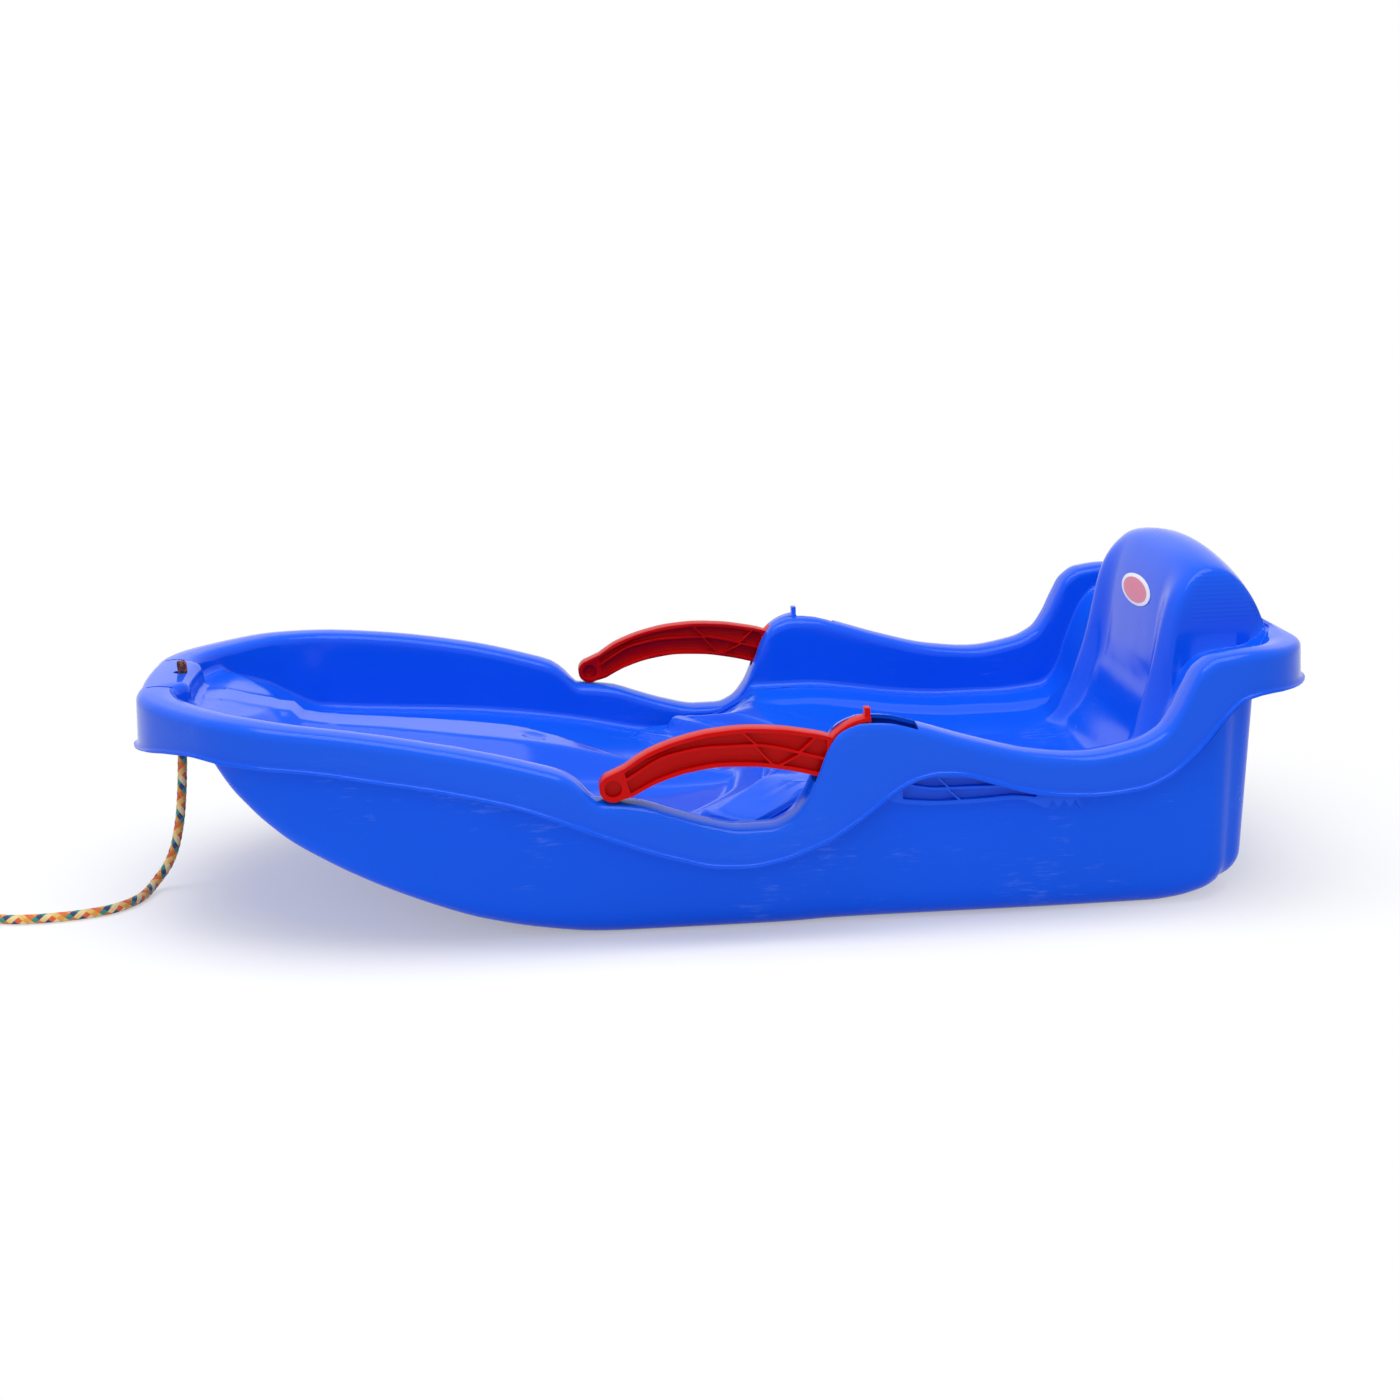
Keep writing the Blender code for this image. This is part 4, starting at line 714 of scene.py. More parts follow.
def rope_material():
    """Braided polypropylene: dull yellow and orange strands with teal and navy ones, fibres of 1 mm."""
    material, tree = fresh_material("braided_polypropylene")
    place = add(tree, "UVMap", uv_map="UVMap")
    part = add(tree, "SeparateXYZ", vector=place)
    run = add(tree, "Math", operation="DIVIDE", in0=part.outputs["Y"], in1=BRAID_PITCH)
    ways = []
    for kind in ("ADD", "SUBTRACT"):
        mixed = add(tree, "Math", operation=kind, in0=part.outputs["X"], in1=run)
        strands = add(tree, "Math", operation="MULTIPLY", in0=mixed, in1=BRAID_STRANDS)
        whole = add(tree, "Math", operation="FLOOR", in0=strands)
        ways.append((strands, whole))
    total = add(tree, "Math", operation="ADD", in0=ways[0][1], in1=ways[1][1])
    under = add(tree, "Math", operation="FLOORED_MODULO", in0=total, in1=2.0)
    under = add(tree, "Math", operation="GREATER_THAN", in0=under, in1=0.5)
    colours = []
    for (strands, whole), tones in zip(ways, BRAID_TONES):
        turn = add(tree, "Math", operation="FLOORED_MODULO", in0=whole, in1=4.0)
        share = add(tree, "Math", operation="MULTIPLY_ADD", in0=turn, in1=0.25, in2=0.125)
        ramp = add(tree, "ValToRGB", fac=share)
        stepped_tones(ramp, tones)
        colours.append(ramp)
    mix = add(tree, "Mix", data_type="RGBA", blend_type="MIX", in0=under, in6=colours[0], in7=colours[1])
    fibre = add(tree, "TexNoise", vector=place, scale=900.0, detail=2.0)
    # The fibre noise darkens the colour where the bump is low and lightens it a little where it is high:
    # painted shade and highlight between the fibres
    fibre_light_and_shade = add(tree, "MapRange", value=fibre.outputs["Fac"], from_min=0.3, from_max=0.7, to_min=0.72,
                to_max=1.08)
    fibre_shaded = add(tree, "Mix", data_type="RGBA", blend_type="MULTIPLY", in0=1.0, in6=mix, in7=fibre_light_and_shade)
    bump = add(tree, "Bump", strength=0.4, distance=0.0003, height=fibre.outputs["Fac"])
    surface = add(tree, "BsdfPrincipled", base_color=fibre_shaded, roughness=0.72,
                  normal=bump, sheen_weight=0.25)
    add(tree, "OutputMaterial", surface=surface)
    return material


def knot_route(centre, size, radius):
    """A pulled-tight trefoil, flattened to size, whose cord of this radius fills a ball."""
    t = np.linspace(0.0, 2 * math.pi, 161)[:-1]
    raw = np.stack([np.sin(t) + 2 * np.sin(2 * t), np.cos(t) - 2 * np.cos(2 * t), -1.5 * np.sin(3 * t)],
                   axis=1)
    scale = (np.array(size) - radius) / (3.0, 3.0, 1.5)
    return raw * scale + np.array(centre)


def closed_knot(name, centre, size, radius, material):
    """A knot of cord, as one closed mesh."""
    route = knot_route(centre, size, radius)
    curve = bpy.data.curves.new(name, "CURVE")
    curve.dimensions = "3D"
    curve.bevel_depth = radius
    curve.bevel_resolution = 3
    spline = curve.splines.new("POLY")
    spline.points.add(len(route) - 1)
    for point, at in zip(spline.points, route):
        point.co = (*at, 1.0)
    spline.use_cyclic_u = True
    shape = new_object(name + "_curve", curve)
    graph = bpy.context.evaluated_depsgraph_get()
    mesh = bpy.data.meshes.new_from_object(shape.evaluated_get(graph))
    bpy.data.objects.remove(shape, do_unlink=True)
    mesh.name = name
    mesh.materials.clear()
    mesh.materials.append(material)
    mesh.shade_smooth()
    return new_object(name, mesh)


def tow_rope():
    """The rope as one cord, with its stopper knot in the nose, the knot at its end and the tie's solid."""
    line, coil, knot_z = rope_route()
    route = np.vstack([line[:-1], coil])
    rope = braided_tube("braided_rope", route, rope_material())
    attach(rope, "shell")
    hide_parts("tow_rope", "rope_coil")
    # Both knots take the rope's colours darkened, as painted shade
    shaded_knot_braid = shaded_braid_material()
    knot = closed_knot("nose_knot", (ROPE_X + KNOT_AFT, 0.0, knot_z), KNOT_SIZE, KNOT_CORD, shaded_knot_braid)
    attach(knot, "shell")
    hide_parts("rope_knot")
    end = coil[-1] - coil[-2]
    end /= np.linalg.norm(end)
    centre = coil[-1] + end * (END_KNOT_RADIUS + GAP)
    stop = closed_knot("rope_end_stopper", centre, END_KNOT_SIZE, END_KNOT_CORD, shaded_knot_braid)
    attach(stop, "shell")
    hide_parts("rope_end_knot")
    band = bpy.data.objects["coil_tie"]
    return band


def shaded_braid_material():
    """Polypropylene braid with painted shade: the rope's colours darkened to matt rust, umber and navy
    strands in flecks of 2 mm.
    """
    material, tree = fresh_material("tight_polypropylene_braid")
    place = add(tree, "TexCoord")
    noise = add(tree, "TexNoise", vector=place.outputs["Object"], scale=520.0, detail=2.0)
    ramp = add(tree, "ValToRGB", fac=noise.outputs["Fac"])
    stepped_tones(ramp, KNOT_SHADED_TONES)
    bump = add(tree, "Bump", strength=0.5, distance=0.0004, height=noise.outputs["Fac"])
    surface = add(tree, "BsdfPrincipled", base_color=ramp, roughness=0.7, normal=bump)
    add(tree, "OutputMaterial", surface=surface)
    return material


# The two moulded shells: how finely their outline is divided
NOSE_STEPS = 48
SIDE_STEPS = 900
CORNER_STEPS = 90


def half_outline():
    """Plan outline of the land's outer edge from the nose to the tail on the +Y side, finely divided."""
    nose = [(LAND_NOSE_X + x, LAND_HALF * share) for x, share in NOSE_OUTLINE]
    mirrored = (nose[1][0], -nose[1][1])
    curve = catmull([mirrored] + nose, NOSE_STEPS)[NOSE_STEPS:]
    corner_x = LAND_TAIL_X - REAR_CORNER
    corner_y = LAND_HALF - REAR_CORNER
    side = [np.array((x, LAND_HALF)) for x in np.linspace(nose[-1][0], corner_x, SIDE_STEPS)[1:]]
    corner = [np.array((corner_x + REAR_CORNER * math.sin(a), corner_y + REAR_CORNER * math.cos(a)))
              for a in np.linspace(0, math.pi / 2, CORNER_STEPS)[1:]]
    tail = [np.array((LAND_TAIL_X, y)) for y in np.linspace(corner_y, 0.0, CORNER_STEPS)[1:]]
    points = np.array(curve + side + corner + tail)
    points[0, 1] = 0.0
    return points


# Parts of the outline with closer stations: x from, x to, y from, y to, how many times more
CLIMB_WEIGHT = 1.3
CLOSER_STATIONS = ((PIVOT_X - 0.165, PIVOT_X - 0.02, 0.15, WIDTH, 1.6),
                   (TAIL_X - 0.145, TAIL_X - 0.07, -WIDTH, WIDTH, 2.0),
                   (-LENGTH, NOSE_X + 0.10, -WIDTH, WIDTH, 0.8),
                   (TAIL_X - 0.03, LENGTH, 0.085, 0.16, 3.0))


def outline_stations(columns):
    """Points and outward normals of the half outline, closer where the tub's inside has steps."""
    fine = half_outline()
    heights = land_height(fine[:, 0])
    run = np.hypot(np.diff(fine[:, 0]), np.diff(fine[:, 1]))
    run = np.hypot(run, CLIMB_WEIGHT * np.diff(heights))
    x = (fine[1:, 0] + fine[:-1, 0]) / 2
    y = fine[1:, 1]
    extra = np.zeros(len(x))
    for low, high, inner, outer, more in CLOSER_STATIONS:
        extra += more * ((x > low) & (x < high) & (y > inner) & (y < outer))
    run = run * (1 + extra)
    along = np.concatenate([[0.0], np.cumsum(run)])
    at = np.linspace(0.0, along[-1], columns + 1)
    tangent = np.gradient(fine, along, axis=0)
    tangent /= np.hypot(tangent[:, 0], tangent[:, 1])[:, None]
    points = np.stack([np.interp(at, along, fine[:, i]) for i in (0, 1)], axis=1)
    tangent = np.stack([np.interp(at, along, tangent[:, i]) for i in (0, 1)], axis=1)
    tangent /= np.hypot(tangent[:, 0], tangent[:, 1])[:, None]
    normal = np.stack([-tangent[:, 1], tangent[:, 0]], axis=1)
    points[0, 1] = points[-1, 1] = 0.0
    normal[0] = (-1.0, 0.0)
    normal[-1] = (1.0, 0.0)
    return points, normal


def whole_ring(points, normal, offset, height):
    """A closed ring: the half outline moved outwards by offset, at height, and its mirror image."""
    plan = points + normal * np.asarray(offset)[..., None] * np.ones((len(points), 1))
    half = np.column_stack([plan, height * np.ones(len(points))])
    half[0, 1] = half[-1, 1] = 0.0
    mirror = half[-2:0:-1] * (1, -1, 1)
    return np.vstack([half, mirror])


def surface_object(name, rings, material, wall, inside, lines, bow, across, fan, outside_up):
    """A walled sheet over rings, closed by a patch whose rows fan out near the nose and the tail."""
    mesh = bmesh.new()
    loops = [[mesh.verts.new(p) for p in ring] for ring in rings]
    first = rings[0]
    count = len(first)
    half = count // 2
    centres = {}
    columns = []
    for i in range(half + 1):
        x = min(max(first[i][0], LAND_NOSE_X + fan[0]), LAND_TAIL_X - fan[1])
        key = round(x, 7)
        if key not in centres:
            centres[key] = mesh.verts.new((x, 0.0, float(inside(x, 0.0))))
        pair = []
        for rim in (i, (count - i) % count):
            column = [centres[key]]
            share = lines(x, first[rim][1])
            px = x + (first[rim][0] - x) * share
            py = first[rim][1] * share
            px = px - bow(x, py)
            height = inside(px, py)
            for k in range(across - 1):
                if abs(py[k]) < 1e-9 and rim != i:
                    column.append(pair[0][k + 1])
                else:
                    column.append(mesh.verts.new((px[k], py[k], height[k])))
            column.append(loops[0][rim])
            pair.append(column)
        if i in (0, half):
            pair[1] = pair[0]
        columns.append(pair)
    for before, after in zip(columns, columns[1:]):
        for side in (0, 1):
            a = before[side]
            b = after[side]
            for k in range(across):
                corners = [a[k], b[k], b[k + 1], a[k + 1]]
                kept = [v for j, v in enumerate(corners) if v is not corners[j - 1]]
                if side:
                    kept.reverse()
                mesh.faces.new(kept)
    for inner, outer in zip(loops, loops[1:]):
        for i in range(count):
            j = (i + 1) % count
            mesh.faces.new([inner[i], inner[j], outer[j], outer[i]])
    loose = [vert for vert in mesh.verts if not vert.link_faces]
    bmesh.ops.delete(mesh, geom=loose, context="VERTS")
    bmesh.ops.recalc_face_normals(mesh, faces=mesh.faces)
    mesh.normal_update()
    mesh.faces.ensure_lookup_table()
    if (mesh.faces[0].normal.z < 0) == outside_up:
        bmesh.ops.reverse_faces(mesh, faces=mesh.faces)
    give_wall(mesh, wall)
    return object_from(name, mesh, material)


def give_wall(mesh, thickness):
    """Close an open sheet into a body: a copy of it set back along its normals, joined at its edge."""
    mesh.normal_update()
    edge = [e for e in mesh.edges if e.is_boundary]
    back = {}
    for vert in list(mesh.verts):
        facing = [max(vert.normal.dot(face.normal), 0.0) for face in vert.link_faces]
        spread = max(sum(facing) / len(facing), 0.8)
        back[vert] = mesh.verts.new(vert.co - vert.normal * (thickness / spread))
    for face in list(mesh.faces):
        mesh.faces.new([back[vert] for vert in reversed(face.verts)])
    for e in edge:
        a, b = e.verts
        loop = e.link_loops[0]
        if loop.vert is a:
            a, b = b, a
        mesh.faces.new([a, b, back[b], back[a]])


def object_from(name, mesh, material):
    """An object made of a bmesh."""
    data = bpy.data.meshes.new(name)
    mesh.to_mesh(data)
    mesh.free()
    data.materials.append(material)
    return new_object(name, data)


def nose_share(y):
    """1 across the nose pad, 0 beside it."""
    return smooth_step((NOSE_PAD_HALF + NOSE_PAD_BLEND - np.abs(y)) / NOSE_PAD_BLEND)


def rim_depth(x, y):
    """Share of the rim's inner side that is left where the backrest's foot covers it."""
    covered = smooth_step((HOOD_FOOT_HALF + HOOD_FOOT_BLEND - np.abs(y)) / HOOD_FOOT_BLEND)
    return 1 - (1 - HOOD_FOOT_SHARE) * covered * (x > LAND_TAIL_X - HOOD_FOOT_REACH)


def tub_lines(x, reach):
    """Shares of a row at which the tub's lengthwise lines run, gathered at the backrest's side."""
    even = np.arange(1, ACROSS) / ACROSS
    reach = max(abs(reach), 0.001)
    inner, outer = (min(line, share * reach) for line, share in zip(HOOD_LINES, HOOD_LINE_LIMITS))
    keys = np.array([0.0, inner, outer, (outer + reach) / 2, reach]) / reach
    gathered = np.interp(even, HOOD_LINE_MARKS, keys)
    return even + (gathered - even) * float(tail_step(x, *HOOD_LINES_START))


def tub(material):
    """The upper moulding: sections of the rim, from its foot inside over its land to the lip outside."""
    points, normal = outline_stations(SIDE_COLUMNS)
    x, y = points.T
    pad = np.where(x < LAND_NOSE_X + NOSE_PAD_REACH, NOSE_PAD * nose_share(y), 0.0)
    land = land_height(x)
    inner = INNER_EDGE + pad
    depth = rim_depth(x, y)
    foot = points - normal * ((inner + FLOOR_FILLET) * depth)[:, None]
    floor = np.minimum(inside_height(foot[:, 0], foot[:, 1]), land - FLOOR_UNDER_LAND)
    deep = land - floor
    wall_foot = inner + WALL_DRAFT * np.maximum(deep - RIM_FILLET - FLOOR_FILLET, 0.0)
    share = np.clip(deep / (RIM_FILLET + FLOOR_FILLET + FILLET_ROOM), 0.0, 1.0)
    skirt = np.minimum(skirt_height(x), land - SKIRT_LEAST)
    at_end = np.where(x < 0, nose_share(y), tail_step(x, *TAIL_ROUND_STARTS))
    round_out = RIM_FILLET + (END_FILLET - RIM_FILLET) * at_end
    skirt_foot = round_out + SKIRT_DRAFT * (land - skirt - round_out - LIP_HEIGHT)
    sections = []
    for a in np.linspace(0.0, math.pi / 2, FILLET_STEPS + 1):
        sections.append((-wall_foot - FLOOR_FILLET * (1 - math.sin(a)),
                         floor + FLOOR_FILLET * share * (1 - math.cos(a))))
    foot_top = floor + FLOOR_FILLET * share
    round_foot = land - RIM_FILLET * share
    for t in (0.25, 0.5, 0.75):
        sections.append((-wall_foot + (wall_foot - inner) * t, foot_top + (round_foot - foot_top) * t))
    for a in np.linspace(0.0, math.pi / 2, FILLET_STEPS + 1):
        sections.append((-inner + RIM_FILLET * (1 - math.cos(a)),
                         round_foot + RIM_FILLET * share * math.sin(a)))
    for t in (0.33, 0.67, 1.0):
        sections.append(((-LAND - pad) * (1 - t), land + LAND_CROWN * math.sin(math.pi * t)))
    for a in np.linspace(0.0, math.pi / 2, FILLET_STEPS + 1)[1:]:
        sections.append((round_out * math.sin(a), land - round_out * (1 - math.cos(a))))
    top = land - round_out
    low = skirt + LIP_HEIGHT
    for t in (0.25, 0.5, 0.75, 0.94, 1.0):
        sections.append((round_out + (skirt_foot - round_out) * t, top + (low - top) * t))
    for a in np.linspace(0.0, math.pi / 2, 4)[1:]:
        sections.append((skirt_foot + LIP_FLARE * (1 - math.cos(a)),
                         low - LIP_HEIGHT * math.sin(a) * LIP_ROUND))
    sections.append((skirt_foot + LIP_FLARE, skirt))
    rings = [whole_ring(points, normal, np.where(offset < 0, offset * depth, offset), height)
             for offset, height in sections]
    return surface_object("moulded_tub", rings, material, WALL, inside_height, tub_lines, swept, ACROSS,
                          TUB_FAN, outside_up=True)


def hull(material):
    """The lower moulding: its bottom, its rounded edge and its drafted side up to under the rim."""
    points, normal = outline_stations(HULL_COLUMNS)
    x, y = points.T
    share = smooth_step((HULL_NOSE_HALF - np.abs(y)) / HULL_NOSE_BLEND)
    ahead = share * (x < LAND_NOSE_X + NOSE_PAD_REACH)
    pad = HULL_NOSE_PAD * ahead
    inset = INNER_EDGE + pad - WALL - HULL_CLEARANCE - HULL_WALL
    inset = inset + HULL_REAR_INSET * tail_step(x, *HULL_INSET_STARTS)
    edge = land_height(x) - HULL_EDGE_DROP - HULL_NOSE_DROP * ahead
    edge = edge - HULL_REAR_DROP * tail_step(x, *HULL_DROP_STARTS)
    radius = HULL_FILLET + (HULL_REAR_FILLET - HULL_FILLET) * tail_step(x, *HULL_FILLET_STARTS)
    plan = points - normal * (inset + HULL_DRAFT * (edge - HULL_SIDE_FOOT) + radius)[:, None]
    floor = hull_bottom(plan[:, 0])
    deep = edge - floor
    radius = np.minimum(radius, HULL_FILLET_SHARE * deep)
    foot = inset + HULL_DRAFT * (deep - radius)
    sections = []
    for a in np.linspace(0.0, math.pi / 2, FILLET_STEPS + 3):
        sections.append((-foot - radius * (1 - math.sin(a)), floor + radius * (1 - math.cos(a))))
    for t in (0.2, 0.4, 0.6, 0.8, 1.0):
        sections.append((-foot + (foot - inset) * t, floor + radius + (edge - floor - radius) * t))
    rings = [whole_ring(points, normal, offset, height) for offset, height in sections]

    def bottom(x, y):
        return hull_bottom(x) + 0.0 * np.asarray(y)

    def even_lines(x, reach):
        return np.arange(1, HULL_ACROSS) / HULL_ACROSS

    def straight(x, y):
        return 0.0 * y

    return surface_object("moulded_hull", rings, material, HULL_WALL, bottom, even_lines, straight,
                          HULL_ACROSS, HULL_FAN, outside_up=False)


def cylinder_y(name, radius, low, high, x, z, segments, material):
    """A round bar along Y between two values of y."""
    mesh = bmesh.new()
    bmesh.ops.create_cone(mesh, cap_ends=True, segments=segments, radius1=radius, radius2=radius,
                          depth=abs(high - low))
    turn = Matrix.Rotation(math.pi / 2, 4, "X")
    bmesh.ops.transform(mesh, matrix=Matrix.Translation((x, (low + high) / 2, z)) @ turn,
                        verts=mesh.verts)
    return object_from(name, mesh, material)


def box(name, low, high, material):
    """A box between two corners."""
    mesh = bmesh.new()
    bmesh.ops.create_cube(mesh, size=1.0)
    for vert in mesh.verts:
        vert.co = Vector([a if c < 0 else b for c, a, b in zip(vert.co, low, high)])
    return object_from(name, mesh, material)


def plates(name, outlines, low, high, material):
    """Flat plates between two values of y, one for each closed outline of (x, z) points."""
    mesh = bmesh.new()
    for outline in outlines:
        near = [mesh.verts.new((x, low, z)) for x, z in outline]
        far = [mesh.verts.new((x, high, z)) for x, z in outline]
        mesh.faces.new(near)
        mesh.faces.new(list(reversed(far)))
        for i in range(len(outline)):
            j = (i + 1) % len(outline)
            mesh.faces.new([near[j], near[i], far[i], far[j]])
    bmesh.ops.recalc_face_normals(mesh, faces=mesh.faces)
    return object_from(name, mesh, material)


def combine(piece, tool, operation):
    """Join a tool to a piece, or cut it away."""
    step = piece.modifiers.new(tool.name, "BOOLEAN")
    step.operation = operation
    step.object = tool
    step.solver = "MANIFOLD"
    return tool


def settle(piece, tools, smooth_angle):
    """Apply a piece's modifiers, drop the tools, and shade it smooth except at its sharp edges."""
    graph = bpy.context.evaluated_depsgraph_get()
    mesh = bpy.data.meshes.new_from_object(piece.evaluated_get(graph), depsgraph=graph)
    piece.modifiers.clear()
    old = piece.data
    piece.data = mesh
    mesh.name = piece.name
    bpy.data.meshes.remove(old)
    for tool in tools:
        bpy.data.objects.remove(tool, do_unlink=True)
    mesh.shade_smooth()
    mesh.set_sharp_from_angle(angle=math.radians(smooth_angle))
    return piece


def shell_pieces(tub_piece, hull_piece, material):
    """Slots in the humps, blind bosses for the axles, the rope's hole, the pad's grooves and the dimple."""
    tools = []
    inner = LEVER_Y - LEVER_WIDTH / 2 - SLOT_CLEARANCE
    outer = LEVER_Y + LEVER_WIDTH / 2 + SLOT_CLEARANCE
    rear = PIVOT_X + TONGUE_RADIUS * math.sin(LEVER_RANGE + TAB_ANGLE) + SLOT_END_GAP
    skirt_in = LEVER_Y + HUB_WIDTH / 2 + HUB_CLEARANCE
    hull_out = LEVER_Y - HUB_WIDTH / 2 - HUB_CLEARANCE
    bore = AXLE_RADIUS + GAP
    for side, name in ((-1, "left"), (1, "right")):
        low = (PIVOT_X - SLOT_AHEAD, min(side * inner, side * outer), PIVOT_HEIGHT - SLOT_DROP)
        high = (rear, max(side * inner, side * outer), PIVOT_HEIGHT + SLOT_RISE)
        tools.append(combine(tub_piece, box("slot_cutter_" + name, low, high, material), "DIFFERENCE"))
        for piece, kind, radius, start, end, operation in (
                (tub_piece, "skirt_boss_", BOSS_RADIUS, skirt_in, SKIRT_FACE_Y - BOSS_SINK, "UNION"),
                (tub_piece, "skirt_bore_", bore, skirt_in - BORE_PAST, AXLE_OUT_Y + GAP, "DIFFERENCE"),
                (hull_piece, "hull_boss_", BOSS_RADIUS, HULL_FACE_Y - BOSS_SINK, hull_out, "UNION"),
                (hull_piece, "hull_bore_", bore, AXLE_IN_Y - GAP, hull_out + BORE_PAST, "DIFFERENCE")):
            tool = cylinder_y(kind + name, radius, side * start, side * end, PIVOT_X, PIVOT_HEIGHT, 40,
                              material)
            tools.append(combine(piece, tool, operation))
    mesh = bmesh.new()
    bmesh.ops.create_cone(mesh, cap_ends=True, segments=36, radius1=ROPE_HOLE_RADIUS,
                          radius2=ROPE_HOLE_RADIUS, depth=0.03)
    bmesh.ops.translate(mesh, vec=(ROPE_X, 0.0, float(land_height(LAND_NOSE_X))), verts=mesh.verts)
    tools.append(combine(tub_piece, object_from("rope_hole_cutter", mesh, material), "DIFFERENCE"))
    top = float(land_height(NOSE_X + 0.02))
    for side in (-1, 1):
        middle = side * PAD_GROOVE_Y
        low = (NOSE_X + PAD_GROOVE[0], middle - PAD_GROOVE_HALF, top - PAD_GROOVE_DEEP)
        high = (NOSE_X + PAD_GROOVE[1], middle + PAD_GROOVE_HALF, top + 0.01)
        tools.append(combine(tub_piece, box(f"pad_groove_{side + 1}", low, high, material), "DIFFERENCE"))
    mesh = bmesh.new()
    bmesh.ops.create_uvsphere(mesh, u_segments=64, v_segments=48, radius=DIMPLE_BALL)
    rise = math.sqrt(DIMPLE_BALL ** 2 - DIMPLE_RADIUS ** 2)
    bmesh.ops.translate(mesh, vec=(PIVOT_X - DIMPLE_AHEAD, 0.0, DIMPLE_HEIGHT + rise), verts=mesh.verts)
    tools.append(combine(tub_piece, object_from("ridge_dimple", mesh, material), "DIFFERENCE"))
    settle(tub_piece, [], SHELL_SMOOTH_ANGLE)
    settle(hull_piece, tools, SHELL_SMOOTH_ANGLE)


# The brake levers


def cell(low, low_by, high, high_by, left, right, steps):
    """A pocket between two curves moved inwards; left and right give x at the lower and at the upper one."""
    bottom = [(x, float(low(x) + low_by)) for x in np.linspace(left[0], right[0], steps)]
    top = [(x, float(high(x) + high_by)) for x in np.linspace(right[1], left[1], steps)]
    return bottom + top


def lever_pockets():
    """Outlines of the hollows on a lever's sides, between its flanges, centre rib and cross ribs."""
    rib = LEVER_RIB / 2
    grip = (grip_bottom, grip_rib, grip_top, [GRIP_START, *GRIP_CROSSES, GRIP_END], 16)
    arm = (arm_bottom, arm_rib, arm_top, [ARM_START, *ARM_CROSSES, ARM_END], 12)
    cells = []
    for bottom, middle, top, ends, steps in (grip, arm):
        rows = ((0, bottom, LEVER_FLANGE, middle, -rib), (1, middle, rib, top, -LEVER_FLANGE))
        for a, b in zip(ends, ends[1:]):
            for i, low, low_by, high, high_by in rows:
                left = (a[i] + rib, a[i + 1] + rib)
                right = (b[i] - rib, b[i + 1] - rib)
                cells.append(cell(low, low_by, high, high_by, left, right, steps))
    return cells


def lever_outline():
    """Side view of a lever about its pivot: grip, hub, rear arm and its toothed end."""
    tip = [(GRIP_TIP[0] + GRIP_BOSS_RADIUS * math.cos(a), GRIP_TIP[1] + GRIP_BOSS_RADIUS * math.sin(a))
           for a in np.linspace(math.radians(-60), math.radians(-255), 25)]
    top = [(x, float(grip_top(x))) for x in np.linspace(-0.190, -0.030, 49)]
    neck = [(-0.014, 0.022), (0.0, 0.0165)]
    upper = [(x, float(arm_top(x))) for x in np.linspace(0.012, ARM_END[2], 36)]
    teeth = [(ARM_REACH - 0.010, -0.016), (ARM_REACH - 0.002, -0.024), (ARM_REACH, -0.037)]
    for i in range(CLAW_TEETH):
        x = ARM_REACH - CLAW_PITCH * i
        teeth.append((x - CLAW_PITCH * 0.55, -0.0285))
        teeth.append((x - CLAW_PITCH, -0.0345))
    lower = [(x, float(arm_bottom(x))) for x in np.linspace(0.116, 0.014, 33)]
    heel = [(0.004, -0.0195), (-0.008, -0.016), (-0.020, -0.0105), (-0.032, -0.004)]
    under = [(x, float(grip_bottom(x))) for x in np.linspace(-0.045, -0.184, 43)]
    return tip + top + neck + upper + teeth + lower + heel + under


def tongue_outline():
    """The strip that covers the slot, its web down to the hub, and the upright tab at its end."""
    first = math.radians(140)
    last = math.pi / 2 + TAB_ANGLE
    rim = [(TONGUE_RADIUS * math.cos(a), TONGUE_RADIUS * math.sin(a))
           for a in np.linspace(first, last, 25)]
    inner = [((TONGUE_RADIUS - LEVER_FLANGE) * math.cos(a), (TONGUE_RADIUS - LEVER_FLANGE) * math.sin(a))
             for a in np.linspace(last, first, 25)]
    end = rim[-1]
    tab = [(end[0] - TAB_THICK, end[1] - 0.001), (end[0] - TAB_THICK, end[1] + TAB_HEIGHT),
           (end[0], end[1] + TAB_HEIGHT), (end[0], end[1] - 0.001)]
    web = [(-0.034, 0.024)] + [rim[4]] + [rim[-5]] + [(rim[-1][0], rim[-1][1] - 0.001), (0.004, 0.010)]
    return rim + inner, tab, web


